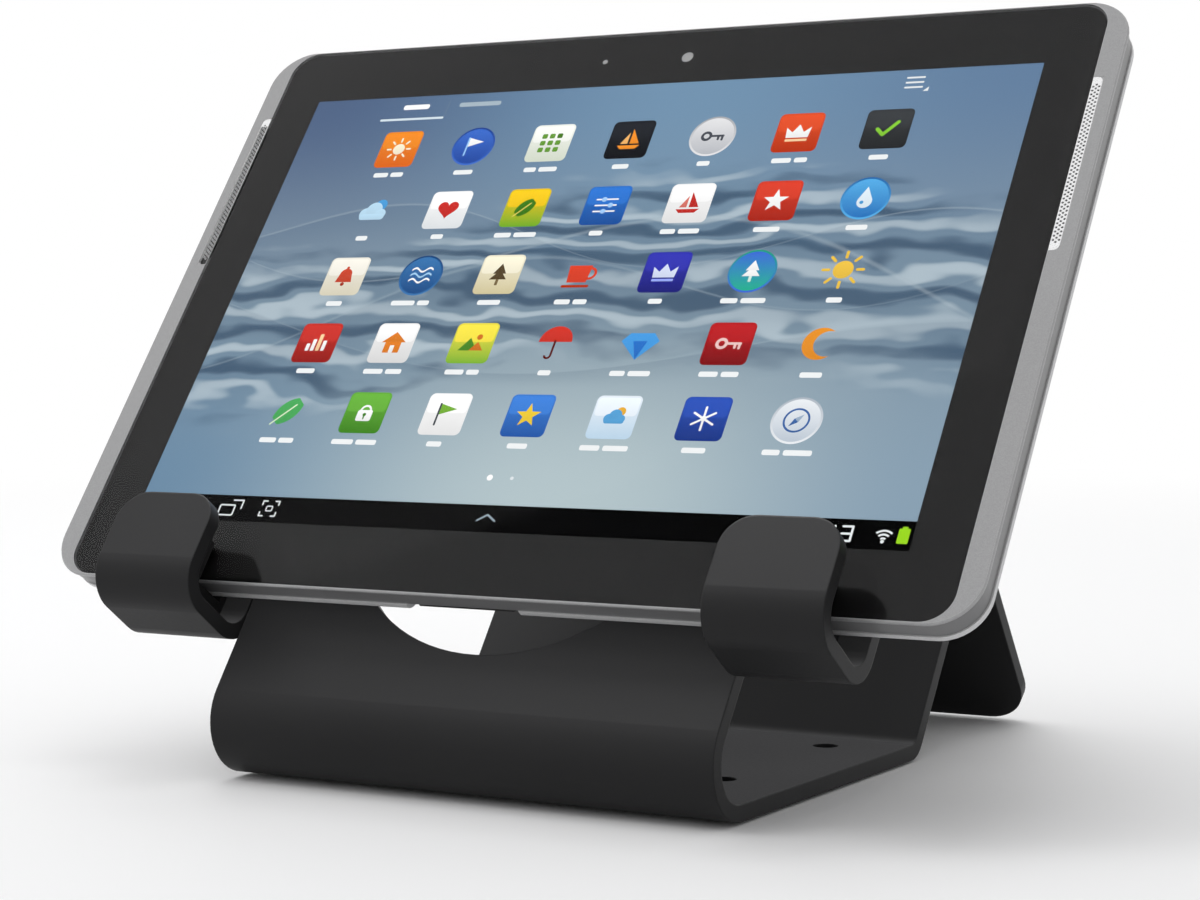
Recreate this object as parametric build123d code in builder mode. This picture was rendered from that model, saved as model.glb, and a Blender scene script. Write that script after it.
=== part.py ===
from build123d import *
from math import cos, radians, sin, tan
import os

os.makedirs("parts", exist_ok=True)

# Tablet kiosk stand: one bent sheet whose hooks hold a tablet, with an anchor for a cable lock.
# Millimetres. Z up, X along the tablet's width, Y towards the back.
# The origin is the centre of the bolt pattern on the underside of the base.

# Bent sheet of the stand
sheet_thickness = 4.0
strip_width = 140.0
leg_width = 142.0
plate_width = 200.0
base_depth = 129.8
lean_angle = 36.0
leg_angle = 37.2
leg_reach = 209.0
front_bend_radius = 14.0
rear_bend_radius = 8.0
top_bend_radius = 8.0
leg_corner_radius = 12.0
plate_corner_radius = 12.0
plate_height = 60.0
cutout_radius = 50.3
cutout_rise = 92.4
weld_radius = 2.0
weld_zone = 12.0

# Bolt pattern in the base
bolt_spacing_x = 102.0
bolt_spacing_y = 58.0
bolt_hole_radius = 3.3
bolt_setback = 84.7

# Hooks
hook_width = 29.4
hook_front_gap = 10.2
hook_bottom_rise = 39.6
hook_arm_height = 15.4
hook_height = 28.4
hook_bend_radius = 10.0
flap_corner_radius = 8.0

# Rubber and foam of the stand
seat_gap = 0.3
rubber_clearance = 0.1
bumper_width = 14.0
bumper_floor = 7.0
bumper_lip_height = 11.0
pad_corner_radius = 3.0
lower_pad_width = 20.0
lower_pad_height = 26.0
lower_pad_rise = 94.0
upper_pad_width = 30.0
upper_pad_height = 14.0
upper_pad_spacing = 100.0
upper_pad_rise = 149.0
foot_radius = 6.0
foot_thickness = 0.8
front_foot_offset = 17.0
rear_foot_inset = 12.1
rear_foot_spacing = 60.0
leg_bumper_width = 60.0
leg_bumper_height = 10.0
leg_bumper_wall = 0.9
leg_bumper_end = 0.6

# Tablet, whole
tablet_width = 257.2
tablet_height = 177.4
tablet_thickness = 9.7
tablet_corner_radius = 12.0
tablet_gap = 2.3

# Tablet, glass and screen
side_band_width = 6.0
end_rim_width = 0.5
glass_corner_radius = 7.6
glass_thickness = 0.8
glass_clearance = 0.05
mask_thickness = 0.1
mask_margin = 0.3
bezel_side_width = 13.9
bezel_end_width = 17.9
panel_margin = 4.5
panel_front_depth = 1.2
panel_thickness = 2.35
front_camera_x = 7.4
front_camera_window_radius = 1.7
light_sensor_x = -17.7
light_sensor_window_radius = 0.85
window_row_inset = 9.1
front_camera_width = 7.0
light_sensor_width = 3.0

# Tablet, frame, edge band and rear shell
frame_depth = 0.9
frame_chamfer_face = 0.3
frame_chamfer_side = 0.5
band_front_inset = 0.3
band_rear_inset = 1.3
band_rear_depth = 7.4
cavity_side_wall = 8.1
cavity_end_wall = 3.3
cavity_corner_radius = 5.0
shell_inset = 0.9
shell_floor = 1.2
shell_wall = 3.0
shell_edge_radius = 1.2

# Speakers and their grilles
grille_length = 52.4
grille_width = 2.6
grille_thickness = 0.6
grille_recess = 0.05
grille_top_inset = 24.0
grille_corner_radius = 1.5
grille_hole_radius = 0.21
grille_row_spacing = 1.0
grille_column_spacing = 0.62
grille_column_count = 3
grille_end_margin = 1.4
speaker_end_margin = 3.8
speaker_width = 16.0
speaker_inset = 0.5
spout_end_margin = 3.2
spout_front_depth = 1.4
spout_slot_width = 1.6
spout_slot_depth = 2.0
spout_clearance = 0.3

# Inside the tablet
part_gap = 0.3
chassis_front_depth = 3.7
chassis_thickness = 0.8
chassis_side_gap = 1.5
chassis_end_gap = 3.9
chassis_corner_radius = 4.0
chassis_rib_width = 14.0
chassis_window_columns = 4
chassis_window_rows = 2
cell_side_margin = 47.5
cell_bottom_margin = 9.4
cell_top_margin = 8.0
cell_gap = 2.0
cell_corner_radius = 2.0
board_height = 48.6
board_top_gap = 0.8
board_thickness = 1.0
shield_width = 26.0
shield_height = 1.4
shield_corner_radius = 1.0
shield_spacing = 34.0
shield_side_inset = 41.7
shield_bottom_inset = 18.0
screw_side_inset = 28.5
screw_board_gap = 4.0
screw_shank_radius = 0.8
screw_head_radius = 1.5
screw_post_radius = 2.4
screw_clearance = 0.05
flex_width = 20.0
flex_thickness = 0.12
flex_x = -30.0
flex_board_gap = 2.0
flex_tail = 7.0
flex_bend_radius = 0.4
flex_slot_height = 4.0
motor_radius = 5.0
motor_thickness = 2.8
motor_side_inset = 16.5
motor_bottom_inset = 25.4
motor_can_share = 0.7

# Buttons, sockets and cover on the top edge
edge_mid_depth = 4.15
button_height = 2.4
button_proud = 0.6
button_clearance = 0.15
button_flange = 0.8
button_flange_thickness = 0.7
power_button_inset = 30.6
power_button_width = 11.0
power_button_rest_gap = 0.1
volume_inset = 54.6
volume_width = 22.0
volume_rest_gap = 0.4
volume_pivot_radius = 0.6
volume_switch_spacing = 15.0
switch_width = 4.0
switch_depth = 2.0
switch_play = 0.45
switch_front_depth = 3.0
jack_inset = 84.6
jack_hole_radius = 1.8
jack_body_width = 6.4
jack_body_length = 9.6
jack_hole_depth = 8.0
microphone_inset = 60.6
microphone_hole_radius = 0.5
microphone_width = 3.0
microphone_depth = 2.2
cover_inset = 69.6
cover_length = 19.0
cover_height = 4.4
cover_thickness = 0.9
cover_clearance = 0.15
cover_drop = 0.4
cover_pin_radius = 0.4
cover_pin_clearance = 0.04
cover_knuckle_radius = 0.85
cover_pin_overhang = 0.6
card_slot_length = 14.0
card_slot_height = 1.4
card_socket_depth = 9.0
card_socket_height = 2.2

# Dock connector on the bottom edge
dock_x = -4.5
dock_notch_width = 32.0
dock_notch_inner_width = 27.0
dock_notch_depth = 4.0
dock_recess = 1.2
dock_slot_width = 22.5
dock_slot_height = 1.1
dock_slot_depth = 1.6
dock_clearance = 0.1

# Rear camera
rear_camera_inset = 16.7
camera_ring_radius = 6.0
camera_ring_inner_radius = 4.0
camera_ring_proud = 0.4
camera_ring_clearance = 0.05
camera_ring_lip = 0.8
camera_glass_thickness = 0.5
camera_module_width = 9.0
camera_lens_radius = 3.0
camera_notch_margin = 1.0

# Security kit on the tablet's back
adhesive_thickness = 0.5
security_plate_width = 60.0
security_plate_height = 50.0
security_plate_thickness = 1.2
security_plate_corner_radius = 6.0
security_plate_drop = 10.8
anchor_thickness = 2.0
anchor_width = 26.0
anchor_flange_height = 24.0
anchor_tab_length = 15.6
anchor_bend_radius = 3.2
anchor_corner_radius = 3.0
anchor_drop = 17.0
lock_slot_length = 7.0
lock_slot_width = 3.0
lock_slot_setback = 9.0
anchor_screw_spacing = 14.0
anchor_screw_radius = 1.5
anchor_screw_head_radius = 2.75
anchor_screw_head_height = 1.6
anchor_socket_radius = 1.0
anchor_socket_depth = 0.9

# Cuts run past the faces they open by this much
overrun = 1.0


# Directions and planes
lean = radians(lean_angle)
leg_lean = radians(leg_angle)
up_along = Vector(0, sin(lean), cos(lean))
outward = Vector(0, -cos(lean), sin(lean))
across = Vector(1, 0, 0)

front_corner_y = -bolt_setback
rear_corner_y = base_depth - bolt_setback
leg_foot_y = front_corner_y + leg_reach

# The tablet stands on the hooks' rubber, so its height follows from them
hook_inner_rise = hook_bottom_rise + sheet_thickness
tablet_bottom_rise = hook_inner_rise + bumper_floor + seat_gap
tablet_rise = tablet_bottom_rise + tablet_height / 2
glass_width = tablet_width - 2 * side_band_width
glass_height = tablet_height - 2 * end_rim_width
screen_width = glass_width - 2 * bezel_side_width
screen_height = glass_height - 2 * bezel_end_width
cavity_width = tablet_width - 2 * cavity_side_wall
cavity_height = tablet_height - 2 * cavity_end_wall

# The front of the sheet, measured up from its lower sharp corner
plate_plane = Plane(origin=(0, front_corner_y, 0), x_dir=across, z_dir=outward)
# The same place seen from the side: x runs outward and y runs up along the sheet
side_plane = Plane(origin=(0, front_corner_y, 0), x_dir=outward, z_dir=(-1, 0, 0))
# The front of the glass, measured from the middle of the tablet
tablet_front = tablet_gap + tablet_thickness
tablet_plane = Plane(
    origin=plate_plane.from_local_coords(Vector(0, tablet_rise, tablet_front)),
    x_dir=across,
    z_dir=outward,
)
# A plane square to the tablet's height, at the middle of the edge band
edge_plane = Plane(
    origin=tablet_plane.from_local_coords(Vector(0, 0, -edge_mid_depth)),
    x_dir=across,
    z_dir=up_along,
)


def depth_plane(depth):
    # Parallel to the glass, this far behind its front
    return tablet_plane.offset(-depth)


def bent_section(corners, radii, thickness):
    # A bent strip's section: the path is one face and the strip lies to the left of it
    headings = [(b - a).normalized() for a, b in zip(corners, corners[1:])]
    normals = [Vector(-h.Y, h.X) for h in headings]
    other_side = []
    for i, corner in enumerate(corners):
        before = normals[max(i - 1, 0)]
        after = normals[min(i, len(normals) - 1)]
        miter = before + after
        other_side.append(corner + miter * (thickness / miter.dot(before)))
    other_radii = []
    for before, after, radius in zip(headings, headings[1:], radii):
        turns_left = before.cross(after).Z > 0
        other_radii.append(radius - thickness if turns_left else radius + thickness)
    with BuildSketch() as section:
        with BuildLine():
            FilletPolyline(*corners, radius=radii)
            FilletPolyline(*other_side, radius=other_radii)
            Line(corners[0], other_side[0])
            Line(corners[-1], other_side[-1])
        make_face()
    return section.sketch_local


# Corners of the side view, as (Y, Z)
leg_normal = Vector(cos(leg_lean), sin(leg_lean))
leg_upwards = Vector(-sin(leg_lean), cos(leg_lean))
leg_normal_axis = Axis((0, 0, 0), (0, cos(leg_lean), sin(leg_lean)))
outward_axis = Axis((0, 0, 0), outward)
up_axis = Axis((0, 0, 0), up_along)
leg_foot = Vector(leg_foot_y, 0) + leg_normal * sheet_thickness
leg_outer_y = leg_foot_y + sheet_thickness / cos(leg_lean)
leg_middle_y = leg_foot_y + sheet_thickness / (2 * cos(leg_lean))
slope_sum = tan(lean) + tan(leg_lean)
apex_height = (leg_outer_y - front_corner_y) / slope_sum
apex = Vector(front_corner_y + apex_height * tan(lean), apex_height)
seam_height = (leg_middle_y - rear_corner_y) / slope_sum
seam = Vector(rear_corner_y + seam_height * tan(lean), seam_height)
front_corner = Vector(front_corner_y, 0)
rear_corner = Vector(rear_corner_y, 0)
base_middle = Vector(0, 0)
plate_bottom_rise = hook_bottom_rise + hook_arm_height
plate_top_rise = plate_bottom_rise + plate_height
shoulder = Vector(front_corner_y, 0) + Vector(sin(lean), cos(lean)) * plate_top_rise

hook_x = plate_width / 2 - hook_width / 2
hook_inner_depth = tablet_front + hook_front_gap
flap_outer = hook_inner_depth + sheet_thickness
flap_top_rise = hook_bottom_rise + hook_height

# The bent sheet: hooks, plate, front wall, base, rear wall and leg
with BuildPart() as stand_frame:
    # The leg, the fold and the plate's upper end, a little wider than the base
    with BuildSketch(Plane.YZ):
        add(bent_section([leg_foot, apex, shoulder], [top_bend_radius], sheet_thickness))
    extrude(amount=leg_width / 2, both=True)
    fillet(stand_frame.edges().filter_by(leg_normal_axis), leg_corner_radius)
    # One hook, then its twin on the other side, with rounded upper corners on the flaps
    hook_path = [
        Vector(-sheet_thickness, plate_bottom_rise + overrun),
        Vector(-sheet_thickness, hook_bottom_rise),
        Vector(flap_outer, hook_bottom_rise),
        Vector(flap_outer, flap_top_rise),
    ]
    with BuildSketch(side_plane.offset(-plate_width / 2)):
        add(bent_section(hook_path, [hook_bend_radius, hook_bend_radius], sheet_thickness))
    hook = extrude(amount=hook_width)
    mirror(hook, about=Plane.YZ)
    flap_corners = stand_frame.edges().filter_by(outward_axis).filter_by(
        lambda edge: (edge.center() - plate_plane.origin).dot(outward) > hook_inner_depth
    )
    fillet(flap_corners, flap_corner_radius)
    # Front wall, base and rear wall, with the weld where the rear wall meets the leg
    with BuildSketch(Plane.YZ) as strip_section:
        plate_to_base = [shoulder, front_corner, base_middle]
        add(bent_section(plate_to_base, [front_bend_radius], sheet_thickness))
        base_to_seam = [base_middle, rear_corner, seam]
        add(bent_section(base_to_seam, [rear_bend_radius], sheet_thickness))
        with BuildLine():
            Polyline(
                seam + leg_normal * sheet_thickness / 2 - leg_upwards * weld_zone,
                seam + leg_normal * sheet_thickness / 2 + leg_upwards * weld_zone,
                seam - leg_normal * sheet_thickness / 2 + leg_upwards * weld_zone,
                seam - leg_normal * sheet_thickness / 2 - leg_upwards * weld_zone,
                close=True,
            )
        make_face()
        fillet(strip_section.vertices().sort_by_distance(seam)[:2], weld_radius)
    extrude(amount=strip_width / 2, both=True)
    # The wide part of the plate, which carries the hooks
    with BuildSketch(plate_plane) as plate_outline:
        with Locations((0, (plate_bottom_rise + plate_top_rise) / 2)):
            Rectangle(plate_width, plate_top_rise - plate_bottom_rise)
        fillet(plate_outline.vertices().group_by(Axis.Y)[-1], plate_corner_radius)
    extrude(amount=-sheet_thickness)
    # Round cut-out through the plate and the front wall
    with BuildSketch(plate_plane.offset(overrun)):
        with Locations((0, cutout_rise)):
            Circle(cutout_radius)
    extrude(amount=-sheet_thickness - 2 * overrun, mode=Mode.SUBTRACT)
    # Bolt holes in the base
    with BuildSketch(Plane.XY):
        with GridLocations(bolt_spacing_x, bolt_spacing_y, 2, 2):
            Circle(bolt_hole_radius)
    extrude(amount=sheet_thickness, mode=Mode.SUBTRACT)

stand_frame.part.label = "stand_frame"
export_step(stand_frame.part, "parts/stand_frame.step")

# Rubber inserts in the hooks, which carry the bottom edge of the tablet
bumper_top = hook_inner_rise + bumper_floor
lip_top = tablet_bottom_rise + bumper_lip_height
bumper_corner = hook_bend_radius - sheet_thickness
for side_name, side in (("left", -1), ("right", 1)):
    with BuildPart() as hook_bumper:
        with BuildSketch(side_plane.offset(-side * hook_x - bumper_width / 2)) as bumper_section:
            with BuildLine():
                Polyline(
                    (rubber_clearance, hook_inner_rise + rubber_clearance),
                    (hook_inner_depth - rubber_clearance, hook_inner_rise + rubber_clearance),
                    (hook_inner_depth - rubber_clearance, lip_top),
                    (tablet_front + seat_gap, lip_top),
                    (tablet_front + seat_gap, bumper_top),
                    (tablet_gap - seat_gap, bumper_top),
                    (tablet_gap - seat_gap, lip_top),
                    (rubber_clearance, lip_top),
                    close=True,
                )
            make_face()
            fillet(bumper_section.vertices().group_by(Axis.Y)[0], bumper_corner)
        extrude(amount=bumper_width)
    hook_bumper.part.label = f"hook_bumper_{side_name}"
    export_step(hook_bumper.part, f"parts/hook_bumper_{side_name}.step")

# Foam pads between the plate and the tablet's back
pad_thickness = tablet_gap - seat_gap
with BuildPart() as back_pads:
    with BuildSketch(plate_plane):
        with Locations((-hook_x, lower_pad_rise), (hook_x, lower_pad_rise)):
            RectangleRounded(lower_pad_width, lower_pad_height, pad_corner_radius)
        with Locations((-upper_pad_spacing / 2, upper_pad_rise), (upper_pad_spacing / 2, upper_pad_rise)):
            RectangleRounded(upper_pad_width, upper_pad_height, pad_corner_radius)
    extrude(amount=pad_thickness)
back_pads.part.label = "back_pads"
export_step(back_pads.part, "parts/back_pads.step")

# Thin rubber feet under the base
front_foot_y = -bolt_spacing_y / 2 - front_foot_offset
rear_foot_y = rear_corner_y - rear_foot_inset
with BuildPart() as base_feet:
    with BuildSketch(Plane.XY):
        with Locations((-bolt_spacing_x / 2, front_foot_y), (bolt_spacing_x / 2, front_foot_y)):
            Circle(foot_radius)
        with Locations((-rear_foot_spacing / 2, rear_foot_y), (rear_foot_spacing / 2, rear_foot_y)):
            Circle(foot_radius)
    extrude(amount=-foot_thickness)
base_feet.part.label = "base_feet"
export_step(base_feet.part, "parts/base_feet.step")

# Rubber channel over the leg's bottom edge, trimmed flat where it meets the counter
leg_plane = Plane(
    origin=(0, leg_foot_y, 0),
    x_dir=(0, cos(leg_lean), sin(leg_lean)),
    z_dir=across,
)
with BuildPart() as leg_bumper:
    with BuildSketch(leg_plane):
        with Locations((sheet_thickness / 2, (leg_bumper_height - leg_bumper_end) / 2)):
            Rectangle(sheet_thickness + 2 * leg_bumper_wall, leg_bumper_height + leg_bumper_end)
        with Locations((sheet_thickness / 2, leg_bumper_height / 2)):
            Rectangle(sheet_thickness, leg_bumper_height, mode=Mode.SUBTRACT)
    extrude(amount=leg_bumper_width / 2, both=True)
    split(bisect_by=Plane.XY.offset(-foot_thickness), keep=Keep.TOP)
leg_bumper.part.label = "leg_bumper"
export_step(leg_bumper.part, "parts/leg_bumper.step")

# Adhesive pad and steel plate on the tablet's back, inside the round cut-out
security_plate_rise = cutout_rise - security_plate_drop - tablet_rise
anchor_bottom_rise = security_plate_rise - anchor_drop
adhesive_depth = tablet_thickness + adhesive_thickness
security_plate_depth = adhesive_depth + security_plate_thickness
with BuildPart() as adhesive_pad:
    with BuildSketch(depth_plane(tablet_thickness)):
        with Locations((0, security_plate_rise)):
            RectangleRounded(security_plate_width, security_plate_height, security_plate_corner_radius)
    extrude(amount=-adhesive_thickness)
adhesive_pad.part.label = "adhesive_pad"
export_step(adhesive_pad.part, "parts/adhesive_pad.step")

anchor_screw_places = [
    (-anchor_screw_spacing / 2, security_plate_rise),
    (anchor_screw_spacing / 2, security_plate_rise),
]
with BuildPart() as security_plate:
    with BuildSketch(depth_plane(adhesive_depth)):
        with Locations((0, security_plate_rise)):
            RectangleRounded(security_plate_width, security_plate_height, security_plate_corner_radius)
        with Locations(*anchor_screw_places):
            Circle(anchor_screw_radius + screw_clearance, mode=Mode.SUBTRACT)
    extrude(amount=-security_plate_thickness)
security_plate.part.label = "security_plate"
export_step(security_plate.part, "parts/security_plate.step")

# Angle bracket with the slot that a cable lock grips
anchor_foot = tablet_plane.from_local_coords(Vector(0, anchor_bottom_rise, -security_plate_depth))
anchor_plane = Plane(
    origin=anchor_foot + across * anchor_width / 2,
    x_dir=outward,
    z_dir=(-1, 0, 0),
)
anchor_tab_plane = Plane(origin=anchor_foot, x_dir=across, z_dir=up_along)
anchor_path = [
    Vector(-anchor_tab_length, 0),
    Vector(0, 0),
    Vector(0, anchor_flange_height),
]
with BuildPart() as lock_anchor:
    with BuildSketch(anchor_plane):
        add(bent_section(anchor_path, [anchor_bend_radius], anchor_thickness))
    extrude(amount=anchor_width)
    flange_corners = lock_anchor.edges().filter_by(outward_axis).group_by(SortBy.LENGTH)[0]
    tab_corners = lock_anchor.edges().filter_by(up_axis).group_by(SortBy.LENGTH)[0]
    fillet(flange_corners + tab_corners, anchor_corner_radius)
    with BuildSketch(anchor_tab_plane.offset(-overrun)):
        with Locations((0, lock_slot_setback)):
            SlotOverall(lock_slot_length, lock_slot_width)
    extrude(amount=anchor_thickness + 2 * overrun, mode=Mode.SUBTRACT)
    with BuildSketch(depth_plane(security_plate_depth)):
        with Locations(*anchor_screw_places):
            Circle(anchor_screw_radius + screw_clearance)
    extrude(amount=-anchor_thickness, mode=Mode.SUBTRACT)
lock_anchor.part.label = "lock_anchor"
export_step(lock_anchor.part, "parts/lock_anchor.step")

with BuildPart() as anchor_screws:
    with BuildSketch(depth_plane(adhesive_depth)):
        with Locations(*anchor_screw_places):
            Circle(anchor_screw_radius)
    extrude(amount=-security_plate_thickness - anchor_thickness)
    with BuildSketch(depth_plane(security_plate_depth + anchor_thickness)):
        with Locations(*anchor_screw_places):
            Circle(anchor_screw_head_radius)
    extrude(amount=-anchor_screw_head_height)
    anchor_head_depth = security_plate_depth + anchor_thickness + anchor_screw_head_height
    with BuildSketch(depth_plane(anchor_head_depth - anchor_socket_depth)):
        with Locations(*anchor_screw_places):
            RegularPolygon(anchor_socket_radius, 6)
    extrude(amount=-anchor_socket_depth, mode=Mode.SUBTRACT)
anchor_screws.part.label = "anchor_screws"
export_step(anchor_screws.part, "parts/anchor_screws.step")

# Glass, its printed border and the screen behind it
window_row_rise = glass_height / 2 - window_row_inset
window_places = {
    "front_camera": (front_camera_x, window_row_rise),
    "light_sensor": (light_sensor_x, window_row_rise),
}
with BuildPart() as cover_glass:
    with BuildSketch(depth_plane(0)):
        RectangleRounded(glass_width, glass_height, glass_corner_radius)
    extrude(amount=-glass_thickness)
cover_glass.part.label = "cover_glass"
export_step(cover_glass.part, "parts/cover_glass.step")

with BuildPart() as bezel_mask:
    with BuildSketch(depth_plane(glass_thickness)):
        RectangleRounded(
            glass_width - 2 * mask_margin,
            glass_height - 2 * mask_margin,
            glass_corner_radius - mask_margin,
        )
        Rectangle(screen_width, screen_height, mode=Mode.SUBTRACT)
        with Locations(window_places["front_camera"]):
            Circle(front_camera_window_radius, mode=Mode.SUBTRACT)
        with Locations(window_places["light_sensor"]):
            Circle(light_sensor_window_radius, mode=Mode.SUBTRACT)
    extrude(amount=-mask_thickness)
bezel_mask.part.label = "bezel_mask"
export_step(bezel_mask.part, "parts/bezel_mask.step")

panel_width = screen_width + 2 * panel_margin
panel_height = screen_height + 2 * panel_margin
with BuildPart() as display_panel:
    with BuildSketch(depth_plane(panel_front_depth)):
        Rectangle(panel_width, panel_height)
    extrude(amount=-panel_thickness)
display_panel.part.label = "display_panel"
export_step(display_panel.part, "parts/display_panel.step")

# Front frame: the silver rim and side bands round the glass
grille_x = glass_width / 2 + glass_clearance + grille_width / 2
grille_rise = glass_height / 2 - grille_top_inset - grille_length / 2
opening_width = glass_width + 2 * glass_clearance
opening_height = glass_height + 2 * glass_clearance
with BuildPart() as front_frame:
    with BuildSketch(depth_plane(0)):
        RectangleRounded(tablet_width, tablet_height, tablet_corner_radius)
    extrude(amount=-frame_depth)
    front_edges = front_frame.faces().sort_by(Axis((0, 0, 0), outward))[-1].edges()
    chamfer(front_edges, length=frame_chamfer_side, length2=frame_chamfer_face)
    with BuildSketch(depth_plane(0)):
        RectangleRounded(opening_width, opening_height, glass_corner_radius + glass_clearance)
        with Locations((-grille_x, grille_rise), (grille_x, grille_rise)):
            Rectangle(grille_width + 2 * glass_clearance, grille_length + 2 * glass_clearance)
    extrude(amount=-frame_depth, mode=Mode.SUBTRACT)
front_frame.part.label = "front_frame"
export_step(front_frame.part, "parts/front_frame.step")

# Perforated speaker grilles beside the glass
grille_row_count = int((grille_length - 2 * grille_end_margin) / grille_row_spacing)
for side_name, side in (("left", -1), ("right", 1)):
    with BuildPart() as speaker_grille:
        with BuildSketch(depth_plane(grille_recess)) as grille_outline:
            with Locations((side * grille_x, grille_rise)):
                Rectangle(grille_width, grille_length)
            outer_corners = grille_outline.vertices().sort_by(Axis.X)
            fillet(outer_corners[-2:] if side > 0 else outer_corners[:2], grille_corner_radius)
            for column in range(grille_column_count):
                column_x = (column - (grille_column_count - 1) / 2) * grille_column_spacing
                row_shift = (column % 2) * grille_row_spacing / 2
                with Locations((side * grille_x + column_x, grille_rise + row_shift)):
                    with GridLocations(grille_row_spacing, grille_row_spacing, 1, grille_row_count):
                        Circle(grille_hole_radius, mode=Mode.SUBTRACT)
        extrude(amount=-grille_thickness)
    speaker_grille.part.label = f"speaker_grille_{side_name}"
    export_step(speaker_grille.part, f"parts/speaker_grille_{side_name}.step")

# Edge band: the recessed ring between the front frame and the rear shell
power_button_x = power_button_inset - tablet_width / 2
volume_x = volume_inset - tablet_width / 2
cover_x = cover_inset - tablet_width / 2
jack_x = tablet_width / 2 - jack_inset
microphone_x = tablet_width / 2 - microphone_inset
speaker_length = grille_length + 2 * speaker_end_margin
spout_length = grille_length - 2 * spout_end_margin
speaker_pocket_x = grille_x + grille_width / 2
speaker_pocket_width = speaker_pocket_x - cavity_width / 2
speaker_pocket_middle = (speaker_pocket_x + cavity_width / 2) / 2
pocket_length = spout_length + 2 * spout_clearance
chassis_rear_depth = chassis_front_depth + chassis_thickness
floor_depth = tablet_thickness - shell_floor
power_slot_width = power_button_width + 2 * button_clearance
volume_slot_width = volume_width + 2 * button_clearance
button_slot_height = button_height + 2 * button_clearance
band_middle_inset = (band_front_inset + band_rear_inset) / 2
band_top_rise = tablet_height / 2 - band_middle_inset
cover_top_rise = band_top_rise - cover_drop
cover_pin_rise = cover_top_rise - cover_knuckle_radius
cover_floor_rise = cover_pin_rise - cover_knuckle_radius - cover_clearance
cover_recess_length = cover_length + cover_knuckle_radius + 2 * cover_clearance
cover_recess_x = cover_x + (cover_length - cover_knuckle_radius) / 2
cover_recess_height = cover_height + 2 * cover_clearance
band_wall_rise = cavity_height / 2
with BuildPart() as edge_band:
    with BuildSketch(depth_plane(frame_depth)):
        RectangleRounded(
            tablet_width - 2 * band_front_inset,
            tablet_height - 2 * band_front_inset,
            tablet_corner_radius - band_front_inset,
        )
    with BuildSketch(depth_plane(band_rear_depth)):
        RectangleRounded(
            tablet_width - 2 * band_rear_inset,
            tablet_height - 2 * band_rear_inset,
            tablet_corner_radius - band_rear_inset,
        )
    loft(ruled=True)
    with BuildSketch(depth_plane(frame_depth)):
        RectangleRounded(cavity_width, cavity_height, cavity_corner_radius)
        for side in (-1, 1):
            with Locations((side * speaker_pocket_middle, grille_rise)):
                Rectangle(speaker_pocket_width, pocket_length)
    extrude(amount=frame_depth - band_rear_depth, mode=Mode.SUBTRACT)
    # Slots and holes along the top edge
    with BuildSketch(edge_plane.offset(band_wall_rise - overrun)):
        with Locations((power_button_x, 0)):
            RectangleRounded(power_slot_width, button_slot_height, button_slot_height / 3)
        with Locations((volume_x, 0)):
            RectangleRounded(volume_slot_width, button_slot_height, button_slot_height / 3)
        with Locations((jack_x, 0)):
            Circle(jack_hole_radius)
        with Locations((microphone_x, 0)):
            Circle(microphone_hole_radius)
        with Locations((cover_recess_x, 0)):
            Rectangle(card_slot_length, card_slot_height)
    extrude(amount=tablet_height / 2 - band_wall_rise + 2 * overrun, mode=Mode.SUBTRACT)
    with BuildSketch(edge_plane.offset(cover_floor_rise)):
        with Locations((cover_recess_x, 0)):
            Rectangle(cover_recess_length, cover_recess_height)
    extrude(amount=tablet_height / 2 - cover_floor_rise, mode=Mode.SUBTRACT)
    # Blind holes for the ends of the cover's pin
    pin_length = cover_recess_height + 2 * cover_pin_overhang
    pin_plane = Plane(
        origin=tablet_plane.from_local_coords(Vector(cover_x, cover_pin_rise, -edge_mid_depth)),
        x_dir=across,
        z_dir=outward,
    )
    with BuildSketch(pin_plane):
        Circle(cover_pin_radius)
    extrude(amount=pin_length / 2, both=True, mode=Mode.SUBTRACT)
edge_band.part.label = "edge_band"
export_step(edge_band.part, "parts/edge_band.step")

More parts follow.
